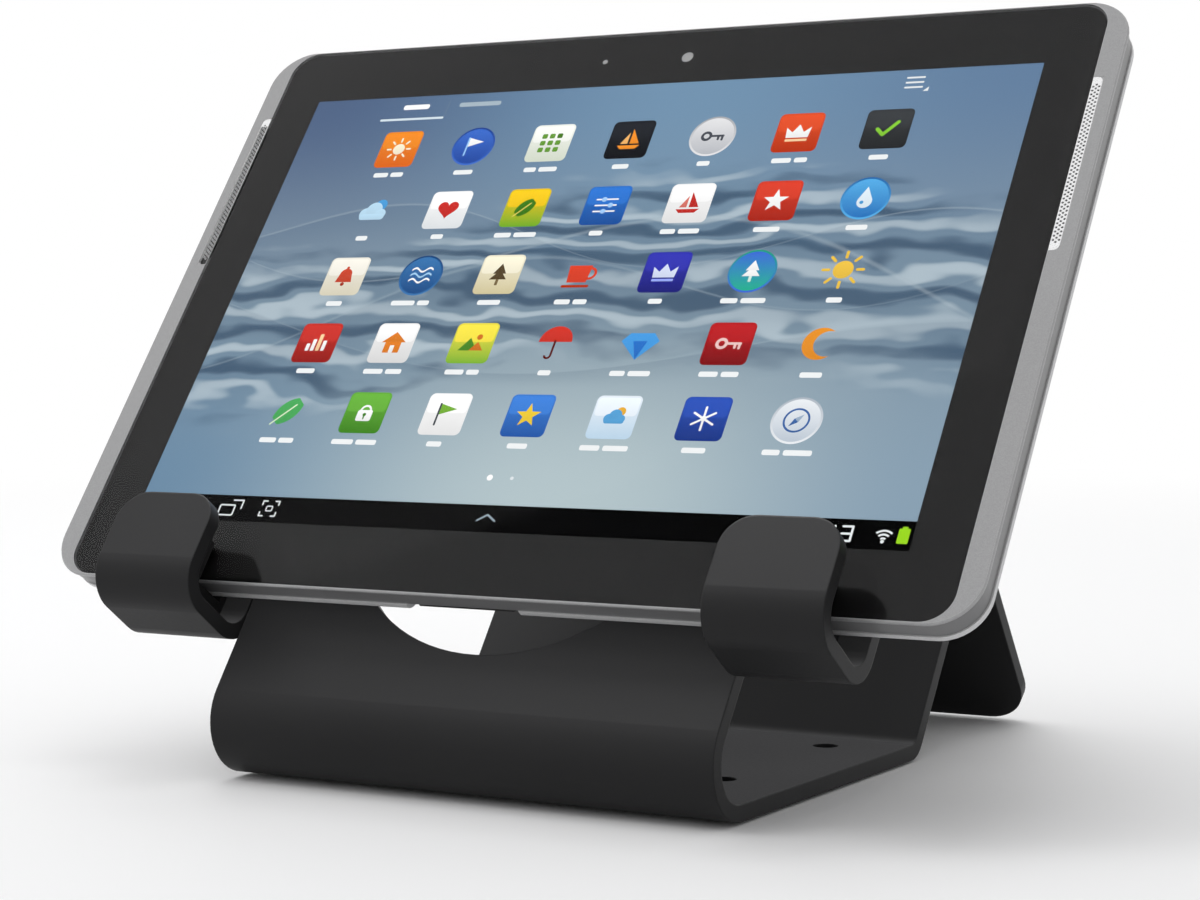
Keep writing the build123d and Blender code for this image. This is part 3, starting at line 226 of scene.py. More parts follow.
def makeFinish(name, color, rough, grain, metallic=0.0, specular=0.5, coat=0.0, coatRough=0.1,
               detail=2.0, drift=0.1, driftSize=50, edge=0.2, wearAndHighlight=0.3, wearAndHighlightGain=1.5, dust=0.0,
               flake=None, brushed=None, pores=None):
    tree, shader = startMaterial(name, {
        "Metallic": metallic, "Specular IOR Level": specular, "Coat Weight": coat, "Coat Roughness": coatRough})
    grainSize, grainHeight, grainRough = grain
    bumps = useGroup(tree, fineGrain, Size=grainSize * mm, Detail=detail)
    wearAndHighlightEdges = useGroup(tree, edgeWearAndHighlight, Width=edge * mm)
    drifted = useGroup(tree, slowDrift, Size=driftSize * mm, Amount=drift)
    tone = scaleColor(tree, color, drifted["Factor"])
    if flake:
        flakes = useGroup(tree, metalFlake, Size=flake[0] * mm, Amount=flake[1])
        tone = scaleColor(tree, tone, flakes["Factor"])
    # Edges are lightened along the mask: partly wear, partly a painted highlight, strongest on the silver frame
    wornAndHighlitTone = (*[min(1, c * wearAndHighlightGain + finishTones["wearAndHighlightLift"]) for c in color], 1)
    tone = blendColors(tree, calc(tree, "MULTIPLY", wearAndHighlightEdges["Mask"], wearAndHighlight), tone, wornAndHighlitTone)
    if dust:
        specks = useGroup(tree, settledDust, Amount=dust)
        tone = blendColors(tree, specks["Mask"], tone, finishTones["dust"])
    height = bumps["Height"]
    if brushed:
        height = calc(tree, "ADD", height, useGroup(tree, brushedLines, Spacing=brushed * mm)["Height"])
    if pores:
        cells = useGroup(tree, foamCells, Size=pores * mm)
        height = cells["Height"]
        # The pores are darkened: painted shade in the recesses
        shade = (*[c * finishTones["poreShade"] for c in color], 1)
        tone = blendColors(tree, cells["Mask"], tone, shade)
    bump = addNode(tree, "Bump", {
        "Strength": 1.0, "Distance": grainHeight * mm, "Height": height, "Normal": wearAndHighlightEdges["Normal"]})
    tree.links.new(tone, shader.inputs["Base Color"])
    tree.links.new(swing(tree, bumps["Mask"], grainRough, rough), shader.inputs["Roughness"])
    tree.links.new(bump.outputs[0], shader.inputs["Normal"])


makeFinish("black_coat", (0.0178, 0.0178, 0.0184), 0.42, (0.8, 0.006, 0.03), specular=0.1, drift=0.2,
           driftSize=40, detail=3.0, edge=0.6, wearAndHighlight=0.25, wearAndHighlightGain=1.6, dust=0.02)
makeFinish("black_rubber", (0.011, 0.011, 0.0115), 0.75, (0.5, 0.01, 0.12), specular=0.3, drift=0.3,
           edge=0.5, dust=0.1)
makeFinish("grey_foam", (0.05, 0.05, 0.052), 0.92, (0.4, 0.06, 0.1), specular=0.2, pores=0.6)
makeFinish("silver_plastic", (0.32, 0.32, 0.325), 0.36, (0.6, 0.002, 0.05), metallic=0.35, coat=0.25,
           coatRough=0.18, drift=0.06, flake=(0.2, 0.16), edge=0.4, wearAndHighlight=0.7, wearAndHighlightGain=2.0)
makeFinish("dark_plastic", (0.16, 0.16, 0.163), 0.34, (0.5, 0.001, 0.02), specular=0.3, drift=0.04)
makeFinish("pale_lip", (0.58, 0.58, 0.585), 0.4, (0.5, 0.006, 0.08), metallic=0.2, drift=0.07,
           flake=(0.22, 0.1))
makeFinish("pale_mesh", (0.85, 0.85, 0.855), 0.3, (0.3, 0.002, 0.06), metallic=0.4, drift=0.04, edge=0.06)
makeFinish("dark_metal", (0.2, 0.2, 0.205), 0.3, (0.4, 0.003, 0.08), metallic=0.9, brushed=0.3, edge=0.15)
makeFinish("connector_black", (0.018, 0.018, 0.018), 0.45, (0.4, 0.004, 0.08), edge=0.1)
makeFinish("plain_steel", (0.5, 0.5, 0.505), 0.32, (0.5, 0.004, 0.1), metallic=1.0, brushed=0.25, edge=0.3,
           wearAndHighlight=0.4)
makeFinish("bright_steel", (0.62, 0.62, 0.63), 0.2, (0.3, 0.002, 0.08), metallic=1.0)
makeFinish("magnesium", (0.34, 0.34, 0.35), 0.5, (0.6, 0.01, 0.12), metallic=0.8)
makeFinish("cell_foil", (0.05, 0.05, 0.055), 0.35, (4, 0.04, 0.1), metallic=0.2, edge=0.3)
makeFinish("board_green", (0.02, 0.12, 0.07), 0.35, (0.9, 0.005, 0.1), edge=0.1, coat=0.3)
makeFinish("shield_tin", (0.6, 0.6, 0.59), 0.34, (3, 0.01, 0.12), metallic=1.0)
makeFinish("speaker_black", (0.022, 0.022, 0.023), 0.5, (0.5, 0.006, 0.1))
makeFinish("flex_amber", (0.42, 0.2, 0.04), 0.3, (1.2, 0.004, 0.08), edge=0.05, coat=0.3)
makeFinish("bezel_ink", (0.009, 0.009, 0.0093), 0.12, (2, 0.0004, 0.02), specular=0.18, edge=0.05)
makeFinish("sensor_window", (0.42, 0.42, 0.425), 0.3, (0.4, 0.0008, 0.04), coat=0.4, edge=0.1)
makeFinish("black_glass", (0.004, 0.004, 0.006), 0.05, (3, 0.0005, 0.03), coat=0.5, coatRough=0.03,
           edge=0.1)
makeFinish("contact_gold", (0.75, 0.5, 0.2), 0.25, (0.2, 0.001, 0.08), metallic=1.0, edge=0.05)

# Cover glass, with a coating that keeps reflections low and faint wiping marks
coverLook = {"ior": 1.08, "smearSize": 30, "smearDetail": 4.0, "smearRough": 0.012}
tree, shader = startMaterial("clear_glass", {
    "Base Color": (1, 1, 1, 1), "IOR": coverLook["ior"], "Transmission Weight": 1.0})
smears = useGroup(tree, fineGrain, Size=coverLook["smearSize"] * mm, Detail=coverLook["smearDetail"])
smearRough = calc(tree, "MULTIPLY", smears["Mask"], coverLook["smearRough"])
tree.links.new(smearRough, shader.inputs["Roughness"])
print("finishes made:", len(materials))


# Ribbons on the wallpaper: a soft body between two waving lines, with a bright rim.
# Places on the screen go from -1 to 1 across and up
ribbonShape = {"narrowing": 0.4, "meanWidth": 0.6, "edge": 0.96, "rim": 0.94, "rimWidth": 0.07}
ribbonBand, given, result = startGroup(
    "ribbonBand",
    {"X": 0.0, "Up": 0.0, "Rise": 0.0, "Slope": 0.0, "Swing": 0.1, "Waves": 4.0, "Phase": 0.0,
     "Width": 0.1, "Pinch": 3.0},
    {"Body": "Float", "Rim": "Float"})
tree = ribbonBand
angle = calc(tree, "MULTIPLY_ADD", given["X"], given["Waves"], given["Phase"])
swung = calc(tree, "MULTIPLY_ADD", calc(tree, "SINE", angle), given["Swing"], given["Rise"])
line = calc(tree, "MULTIPLY_ADD", given["X"], given["Slope"], swung)
pinched = calc(tree, "SINE", calc(tree, "MULTIPLY_ADD", given["X"], given["Pinch"], given["Phase"]))
share = calc(tree, "MULTIPLY_ADD", pinched, ribbonShape["narrowing"], ribbonShape["meanWidth"])
halfWidth = calc(tree, "MULTIPLY", given["Width"], share)
across = calc(tree, "DIVIDE", calc(tree, "SUBTRACT", given["Up"], line), halfWidth)
inside = remap(tree, calc(tree, "ABSOLUTE", across), ribbonShape["edge"], 1.0, 1.0, 0.0)
tree.links.new(calc(tree, "MULTIPLY", inside, remap(tree, across, -1.0, 1.0)), result["Body"])
fromRim = calc(tree, "ABSOLUTE", calc(tree, "SUBTRACT", across, ribbonShape["rim"]))
tree.links.new(remap(tree, fromRim, 0.0, ribbonShape["rimWidth"], 1.0, 0.0), result["Rim"])

# Folds of silk that run across the middle of the wallpaper, with dark creases and pale crests
silkShape = {"waves": 2.3, "phase": 0.7, "flatten": 1.5, "slice": 0.37, "leastReach": 0.15,
             "reachSpread": 1.7, "softFrom": 0.55, "crease": 0.42, "crest": 0.72}
silkFolds, given, result = startGroup(
    "silkFolds", {"X": 0.0, "Up": 0.0, "Reach": 0.42, "Wander": 0.16},
    {"Crease": "Float", "Crest": "Float", "Body": "Float"})
tree = silkFolds
angle = calc(tree, "MULTIPLY_ADD", given["X"], silkShape["waves"], silkShape["phase"])
middleLine = calc(tree, "MULTIPLY", calc(tree, "SINE", angle), given["Wander"])
offset = calc(tree, "ABSOLUTE", calc(tree, "SUBTRACT", given["Up"], middleLine))
flatUp = calc(tree, "MULTIPLY", given["Up"], silkShape["flatten"])
flat = addNode(tree, "CombineXYZ", {0: given["X"], 1: flatUp, 2: silkShape["slice"]}).outputs[0]
ragged = addNode(tree, "TexNoise", {
    "Vector": flat, "Scale": 1.6, "Detail": 4.0, "Roughness": 0.62}).outputs[0]
spread = calc(tree, "MULTIPLY_ADD", ragged, silkShape["reachSpread"], silkShape["leastReach"])
reach = calc(tree, "MULTIPLY", given["Reach"], spread)
body = remap(tree, calc(tree, "DIVIDE", offset, reach), silkShape["softFrom"], 1.0, 1.0, 0.0)
folds = addNode(tree, "TexWave", {
    "Vector": flat, "Scale": 1.15, "Distortion": 11.0, "Detail": 3.0, "Detail Scale": 1.25,
    "Detail Roughness": 0.58}, wave_type="BANDS", bands_direction="Y", wave_profile="SIN").outputs["Fac"]
creases = remap(tree, folds, 0.0, silkShape["crease"], 1.0, 0.0)
crests = remap(tree, folds, silkShape["crest"], 1.0)
tree.links.new(calc(tree, "MULTIPLY", body, creases), result["Crease"])
tree.links.new(calc(tree, "MULTIPLY", body, crests), result["Crest"])
tree.links.new(body, result["Body"])

# The wallpaper: a blue-grey fade crossed by the folds and ribbons
wallpaper = {
    "topLeft": "4f6486", "topRight": "6480a0", "topMiddle": "7293b0", "middle": "8296a6",
    "lowLeft": "6d8ca6", "lowMiddle": "b4c5ca", "lowRight": "8aa1b3",
}
screenLook = {"halfWidth": 108.7, "halfHeight": 70.3, "grain": 0.8, "rough": 0.3, "roughSpread": 0.04,
              "itemRough": 0.4, "itemDrift": 4, "itemSpread": 0.08}
litBase = {"Base Color": (0.001, 0.001, 0.0012, 1), "Specular IOR Level": 0.0, "Emission Strength": 1.0}
tree, shader = startMaterial("screen_face", litBase)
place = addNode(tree, "TexCoord").outputs["Object"]
shifted = addNode(tree, "VectorMath", {0: place, 1: tabletPlace.translation}, operation="SUBTRACT").outputs[0]
sideways = addNode(tree, "SeparateXYZ", {0: shifted}).outputs[0]
risen = addNode(
    tree, "VectorMath", {0: shifted, 1: (0, leanBack, leanUp)}, operation="DOT_PRODUCT").outputs["Value"]
screenX = calc(tree, "DIVIDE", sideways, screenLook["halfWidth"] * mm)
screenUp = calc(tree, "DIVIDE", risen, screenLook["halfHeight"] * mm)


def fade(value, low, high, first, second):
    first, second = [paint(wallpaper[tone]) if isinstance(tone, str) else tone for tone in (first, second)]
    return blendColors(tree, remap(tree, value, low, high), first, second)


topRow = fade(screenX, 0.1, 1.0, fade(screenX, -1.0, 0.1, "topLeft", "topMiddle"), "topRight")
lowRow = fade(screenX, 0.2, 1.0, fade(screenX, -1.0, 0.1, "lowLeft", "lowMiddle"), "lowRight")
backdrop = fade(screenUp, 0.1, -0.85, fade(screenUp, -0.1, 1.0, "middle", topRow), lowRow)
silk = useGroup(tree, silkFolds, X=screenX, Up=screenUp)
layers = [(silk["Body"], 0.30, "5f7c92"), (silk["Crease"], 0.72, "2c4560"), (silk["Crest"], 0.55, "cfdde4")]
ribbonKeys = ("Rise", "Slope", "Swing", "Waves", "Phase", "Width", "Pinch")
ribbons = [
    (0.02, -0.22, 0.16, 3.1, 0.6, 0.26, 2.1, "4a6680", "d2e0e6"),
    (-0.10, 0.18, 0.13, 3.7, 2.3, 0.20, 2.7, "3d5670", "c4d6de"),
    (0.22, -0.05, 0.10, 4.6, 4.0, 0.12, 3.3, "4a6680", "d2e0e6"),
    (-0.26, -0.10, 0.12, 2.6, 5.2, 0.16, 1.9, "3d5670", "c4d6de"),
]
for *values, dark, light in ribbons:
    wisp = useGroup(tree, ribbonBand, X=screenX, Up=screenUp, **dict(zip(ribbonKeys, values)))
    layers += [(wisp["Body"], 0.18, dark), (wisp["Rim"], 0.2, light)]
for mask, strength, tone in layers:
    backdrop = blendColors(tree, calc(tree, "MULTIPLY", mask, strength), backdrop, paint(tone))
grain = useGroup(tree, fineGrain, Size=screenLook["grain"] * mm)
rough = calc(tree, "MULTIPLY_ADD", grain["Mask"], screenLook["roughSpread"], screenLook["rough"])
tree.links.new(rough, shader.inputs["Roughness"])
tree.links.new(backdrop, shader.inputs["Emission Color"])

# Items on the screen: their colour is stored in the mesh, with a fine dither from the panel
tree, shader = startMaterial("screen_items", {**litBase, "Roughness": screenLook["itemRough"]})
tint = addNode(tree, "Attribute", attribute_name="tint").outputs["Color"]
drift = useGroup(tree, slowDrift, Size=screenLook["itemDrift"] * mm, Amount=screenLook["itemSpread"])
tree.links.new(scaleColor(tree, tint, drift["Factor"]), shader.inputs["Emission Color"])
print("screen finishes made")


# Every CAD node takes the finish that its slot names
for nodeName, cadObject in nodes.items():
    for slot in cadObject.material_slots:
        wanted = slot.material.name.split(".")[0] if slot.material else ""
        if wanted in materials:
            slot.material = materials[wanted]
        else:
            print("no finish for", nodeName, wanted)
print("finishes laid on the CAD nodes")


# Outlines, as lists of points
boxCorners = ((1, 1, 0), (-1, 1, 90), (-1, -1, 180), (1, -1, 270))


def arc(x, y, radius, start=0.0, stop=360.0, count=28):
    steps = count if abs(stop - start) >= 360 else count + 1
    turns = [math.radians(start + (stop - start) * i / count) for i in range(steps)]
    return [(x + radius * math.cos(a), y + radius * math.sin(a)) for a in turns]


def roundBox(x, y, width, height, radius, count=5):
    points = []
    for cx, cy, start in boxCorners:
        points += arc(x + cx * (width / 2 - radius), y + cy * (height / 2 - radius),
                      radius, start, start + 90, count)
    return points


def band(x, y, outer, inner, start=0.0, stop=180.0, count=20):
    return arc(x, y, outer, start, stop, count) + arc(x, y, inner, start, stop, count)[::-1]


def ring(x, y, outer, inner):
    return [band(x, y, outer, inner, 0, 180), band(x, y, outer, inner, 180, 360)]


def stroke(x0, y0, x1, y1, width):
    a = math.degrees(math.atan2(y1 - y0, x1 - x0))
    return arc(x1, y1, width / 2, a - 90, a + 90, 6) + arc(x0, y0, width / 2, a + 90, a + 270, 6)


def spoke(turn, start, stop, width):
    c, s = math.cos(math.radians(turn)), math.sin(math.radians(turn))
    return stroke(start * c, start * s, stop * c, stop * s, width)


def starShape(outer, inner, points):
    turns = [math.radians(90 + 180 * i / points) for i in range(points * 2)]
    return [(r * math.cos(a), r * math.sin(a)) for r, a in zip((outer, inner) * points, turns)]


# Mesh helpers, in the tablet's or the stand's place
def skin(mesh, rings, materialIndex=0, caps=True):
    # Joins each ring of points to the next. A ring of one point is the tip of a cone
    for first, second in zip(rings, rings[1:]):
        count = max(len(first), len(second))
        for i in range(count):
            j = (i + 1) % count
            corners = [first[i % len(first)], second[i % len(second)],
                       second[j % len(second)], first[j % len(first)]]
            mesh.faces.new(list(dict.fromkeys(corners))).material_index = materialIndex
    if caps:
        for end in (rings[0], rings[-1][::-1]):
            mesh.faces.new(end).material_index = materialIndex


def plate(mesh, outline, front, thickness, top, bottom=None):
    # A thin flat shape that faces out of the tablet, with its colour fading from top to bottom
    layer = mesh.loops.layers.float_color.get("tint") or mesh.loops.layers.float_color.new("tint")
    bottom = bottom or top
    high, low = max(p[1] for p in outline), min(p[1] for p in outline)
    fronts = [mesh.verts.new((x, y, -front)) for x, y in outline]
    backs = [mesh.verts.new((x, y, -front - thickness)) for x, y in outline]
    faces = [mesh.faces.new(fronts), mesh.faces.new(backs[::-1])]
    for i in range(len(outline)):
        j = (i + 1) % len(outline)
        faces.append(mesh.faces.new((fronts[j], fronts[i], backs[i], backs[j])))
    for face in faces:
        for loop in face.loops:
            share = (loop.vert.co.y - low) / max(high - low, 1e-6)
            loop[layer] = [b + (t - b) * share for t, b in zip(top, bottom)]


def lathe(mesh, profile, x, y, materialIndex=0, count=48):
    # Turns (radius, out) points round an axis that points out of the tablet
    rings = []
    for radius, out in profile:
        outline = arc(x, y, radius, 0, 360, count) if radius else [(x, y)]
        rings.append([mesh.verts.new((px, py, out)) for px, py in outline])
    skin(mesh, rings, materialIndex, caps=False)


def block(mesh, x, y, look, materialIndex=0):
    # A box with rounded upright corners and softened ends, whose depth goes down from its top
    (width, height, depth), soft = look["size"], look["soft"]
    steps = [(soft, 0.0), (soft * 0.3, -soft * 0.3), (0.0, -soft), (0.0, soft - depth), (soft, -depth)]
    rings = []
    for inset, drop in steps:
        outline = roundBox(x, y, width - 2 * inset, height - 2 * inset, max(look["corner"] - inset, 0.01),
                           look.get("steps", 3))
        rings.append([mesh.verts.new((px, py, look["top"] + drop)) for px, py in outline])
    skin(mesh, rings, materialIndex)


def punched(outlines, out, depth, soft, mergeBelow=0.0005):
    # A plate cut from a filled curve: the first outline is its edge and the others are its holes
    curve = bpy.data.curves.new("punched", "CURVE")
    curve.dimensions, curve.fill_mode = "2D", "BOTH"
    curve.extrude, curve.bevel_depth, curve.bevel_resolution = depth / 2 - soft, soft, 0
    curve.offset = -soft
    for outline in outlines:
        spline = curve.splines.new("POLY")
        spline.points.add(len(outline) - 1)
        for point, (x, y) in zip(spline.points, outline):
            point.co = (x, y, 0, 1)
        spline.use_cyclic_u = True
    holder = bpy.data.objects.new("punched", curve)
    cut = bpy.data.meshes.new_from_object(holder)
    mesh = bmesh.new()
    mesh.from_mesh(cut)
    bpy.data.objects.remove(holder)
    bpy.data.meshes.remove(cut)
    bmesh.ops.remove_doubles(mesh, verts=mesh.verts, dist=mergeBelow)
    bmesh.ops.translate(mesh, verts=mesh.verts, vec=(0, 0, out - depth / 2))
    return mesh


def placeMesh(name, mesh, place):
    data = bpy.data.meshes.new(name)
    mesh.to_mesh(data)
    mesh.free()
    data.transform(place)
    placed = bpy.data.objects.new(name, data)
    scene.collection.objects.link(placed)
    return placed


def makePiece(name, mesh, finishNames, body="tablet", place=tabletPlace, smoothAngle=35):
    bmesh.ops.recalc_face_normals(mesh, faces=mesh.faces)
    piece = placeMesh(name, mesh, place)
    for finishName in finishNames:
        piece.data.materials.append(materials[finishName])
    piece.data.shade_smooth()
    piece.data.set_sharp_from_angle(angle=math.radians(smoothAngle))
    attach(piece, body)
    return piece


# Pictures for the screen's tiles, drawn in a square from -1 to 1. Outlines have the picture's first tone,
# apart from those marked as second
def second(outline):
    return ("second", outline)


heartSteps, heartScale, heartRise, harmonics = 40, 0.043, 0.06, (13, -5, -2, -1)
heart = []
for i in range(heartSteps):
    t = 2 * math.pi * i / heartSteps
    up = sum(h * math.cos((k + 1) * t) for k, h in enumerate(harmonics))
    heart.append((heartScale * 16 * math.sin(t) ** 3, heartScale * up + heartRise))
waveSteps, waveLift, waveCrest, waveTurns, waveLine = 24, 0.07, 0.14, 9.4, 0.14
waves = []
for y in (-0.4, 0.0, 0.4):
    shares = [i / waveSteps for i in range(waveSteps + 1)]
    upper = [(-0.75 + 1.5 * s, y + waveLift + waveCrest * math.sin(s * waveTurns)) for s in shares]
    waves.append(upper + [(x, h - waveLine) for x, h in upper[::-1]])
pictures = {
    "sun": [arc(0, 0, 0.4)] + [spoke(45 * i, 0.56, 0.8, 0.12) for i in range(8)],
    "cloud": [second(arc(0.32, 0.34, 0.28)), arc(-0.3, -0.1, 0.3), arc(0.06, 0.1, 0.38),
              arc(0.42, -0.12, 0.26), roundBox(0.05, -0.26, 1.2, 0.3, 0.14)],
    "hills": [second(arc(0.34, 0.4, 0.18)), [(-0.8, -0.5), (0.4, -0.5), (-0.2, 0.34)],
              second([(-0.1, -0.5), (0.8, -0.5), (0.35, 0.08)])],
    "star": [starShape(0.78, 0.32, 5)],
    "heart": [heart],
    "padlock": [band(0, 0.12, 0.38, 0.25), roundBox(0, -0.2, 0.98, 0.72, 0.12), second(arc(0, -0.14, 0.11)),
                second(roundBox(0, -0.32, 0.09, 0.26, 0.03))],
    "chart": [roundBox(-0.54, -0.31, 0.24, 0.5, 0.05), roundBox(-0.18, -0.16, 0.24, 0.8, 0.05),
              second(roundBox(0.18, 0.015, 0.24, 1.15, 0.05)), roundBox(0.54, -0.21, 0.24, 0.7, 0.05)],
    "leaf": [arc(0.42, -0.42, 1.05, 96, 174, 14) + arc(-0.42, 0.42, 1.05, 276, 354, 14),
             second(stroke(-0.62, -0.62, 0.3, 0.3, 0.07))],
    "compass": [*ring(0, 0, 0.78, 0.66), second([(0.38, 0.38), (0.12, -0.12), (-0.12, 0.12)]),
                [(-0.38, -0.38), (0.12, -0.12), (-0.12, 0.12)]],
    "dots": [(second if x + y > 0.5 else list)(roundBox(x, y, 0.34, 0.34, 0.08))
             for x in (-0.5, 0, 0.5) for y in (-0.5, 0, 0.5)],
    "waves": [waves[0], second(waves[1]), waves[2]],
    "moon": [arc(0, 0, 0.7, 50, 310, 26) + arc(0.3, 0, 0.557, 286, 74, 20)],
    "house": [[(-0.8, 0.04), (0, 0.74), (0.8, 0.04)], roundBox(0, -0.3, 1.06, 0.74, 0.04),
              second(roundBox(0, -0.42, 0.28, 0.5, 0.03))],
    "tick": [stroke(-0.54, 0.0, -0.16, -0.4, 0.22), stroke(-0.16, -0.4, 0.58, 0.44, 0.22)],
    "sliders": [shape for y, x in ((0.42, -0.2), (0.0, 0.3), (-0.42, -0.05))
                for shape in (stroke(-0.66, y, 0.66, y, 0.1), second(arc(x, y, 0.17)))],
    "key": [*ring(-0.38, 0, 0.36, 0.18), stroke(-0.04, 0, 0.72, 0, 0.15), stroke(0.42, 0, 0.42, -0.26, 0.15),
            stroke(0.68, 0, 0.68, -0.3, 0.15)],
    "gem": [[(-0.5, 0.46), (0.5, 0.46), (0.8, 0.1), (0, -0.74), (-0.8, 0.1)],
            second([(-0.3, 0.1), (0.3, 0.1), (0, -0.74)])],
    "flag": [second(stroke(-0.46, -0.7, -0.46, 0.66, 0.12)), [(-0.4, 0.66), (0.66, 0.32), (-0.4, -0.04)]],
    "umbrella": [arc(0, 0.06, 0.72, 0, 180, 20), second(stroke(0, 0.1, 0, -0.56, 0.09)),
                 second(band(-0.13, -0.56, 0.175, 0.085, 180, 360, 8))],
    "bell": [arc(0, 0.6, 0.1), second(arc(0, -0.56, 0.13)),
             arc(0, 0.12, 0.42, 0, 180, 16) + [(-0.56, -0.42), (0.56, -0.42)]],
    "cup": [*ring(0.42, -0.02, 0.3, 0.19), [(-0.56, 0.36), (0.44, 0.36), (0.36, -0.44), (-0.48, -0.44)],
            second(roundBox(-0.06, -0.62, 1.2, 0.12, 0.05))],
    "drop": [[(x, -y) for x, y in arc(0, 0.24, 0.46, -32, 212, 20)] + [(0, 0.8)],
             second(arc(-0.16, -0.3, 0.12))],
    "sail": [[(0.06, -0.3), (0.06, 0.76), (0.66, -0.3)],
             second([(-0.08, -0.3), (-0.08, 0.5), (-0.54, -0.3)]),
             [(-0.7, -0.42), (0.74, -0.42), (0.5, -0.68), (-0.46, -0.68)]],
    "crown": [[(-0.66, -0.36), (-0.74, 0.36), (-0.34, 0.02), (0, 0.56), (0.34, 0.02), (0.74, 0.36), (0.66, -0.36)],
              second(roundBox(0, -0.54, 1.32, 0.16, 0.05))],
    "tree": [second(roundBox(0, -0.56, 0.18, 0.4, 0.04)), [(-0.56, -0.36), (0.56, -0.36), (0, 0.3)],
             [(-0.42, 0.04), (0.42, 0.04), (0, 0.74)]],
    "flake": [*[spoke(turn, -0.7, 0.7, 0.13) for turn in (30, 90, 150)], second(arc(0, 0, 0.17))],
}

# Items on the screen, in seven columns and five rows, with bars where captions would be.
# Each has its number of bars, its style, its picture with two tones, and its own two tones unless bare
screenLayout = {
    "columns": 7, "firstX": -74.0, "stepX": 24.3, "firstUp": 51.4, "stepUp": -21.9, "half": 6.3,
    "depth": 1.06, "layer": 0.05, "corner": 1.5, "rim": 1.04, "face": 0.95, "steps": 48, "rimShade": 0.8,
    "shineDepth": 1.048, "shineLayer": 0.01, "shineRise": 0.48, "shineInset": 0.8, "shineHeight": 0.86,
    "shineCorner": 1.1, "shineGain": 1.14,
    "pictureDepth": 1.0, "pictureLayer": 0.025, "pictureStep": 0.0015, "pictureShade": 0.86,
    "reach": {"tile": 0.74, "disc": 0.70, "bare": 1.06},
}
captionLook = {"drop": 9.0, "height": 1.5, "corner": 0.5, "shortest": 3.4, "longest": 7.4, "gap": 0.9,
               "seed": 7, "tone": "f2f5f6"}
tiles = [
    "2 tile sun fff4d8 fff4d8 f08a24 e0661a", "1 disc flag ffffff 9fd0ff 3f6fd0 2348a0",
    "2 tile dots 6aa13a 4b7f24 f4f6f0 d4dccb", "1 tile sail ff9a2e ffc070 22252b 101216",
    "1 disc key 4b4f58 9aa3b0 e8e8ea b9bcc2", "2 tile crown ffffff ffd9a8 e0502a b93414",
    "1 tile tick 8bd13c 5fa024 3a3d40 26282a",
    "1 bare cloud bfe2f8 4fa2e0", "1 tile heart cf2f2a cf2f2a fdfdfd dfe3e6",
    "2 tile leaf 3f7f1c f7e26a f2c81e 6fae2c", "1 tile sliders ffffff a7d2ff 2f74cf 1c4f9c",
    "2 tile sail c8302a e0786c fafafa e3e3e3", "1 tile star ffffff ffffff d8402c a82518",
    "1 disc drop e8f6ff 4a9fdc 58b0ea 2a72bc",
    "1 tile bell d04a32 a83420 f2efe4 d9d2bb", "2 disc waves ffffff a9d3f4 3c78b4 1f4c86",
    "1 tile tree 5a4a30 7d6a48 f5efd6 d3c79c", "2 bare cup e2452c b93414",
    "1 tile crown dfe8ff 9fb0ff 3436b0 1d1f78", "2 disc tree ffffff d7f3e6 3f6ad8 28b08c",
    "1 bare sun f5c84a f5c84a",
    "1 tile chart ffffff ffd9a8 c9342c 931a16", "2 tile house e8832a f7f7f7 f7f7f7 d9d9d9",
    "2 tile hills 4f8f2c d9782a f4e24a 7db53a", "1 bare umbrella d8382c 5e120c", "2 bare gem 4aa0e8 2c74cc",
    "2 tile key f4d0cc ffffff b81f24 7c0f14", "1 bare moon f0962c f0962c",
    "2 bare leaf 4fb060 dff4d0", "2 tile padlock ffffff 3f8420 68b13e 3f8420",
    "1 tile flag 7cb83c 4c5258 ffffff e6e6e6", "1 tile star f6d23c f6d23c 3f7fd6 2457a6",
    "2 tile cloud 5aa6dc f0b43c e9f2fa bcd6ea", "1 tile flake ffffff ffffff 2b50b4 173484",
    "2 disc compass 3f68a8 9fb4cc eef2f6 bfcad6",
]
tileMesh, pictureMesh, captionMesh = bmesh.new(), bmesh.new(), bmesh.new()
shuffled = random.Random(captionLook["seed"])
lay = screenLayout
half, depth, layer = lay["half"], lay["depth"], lay["layer"]
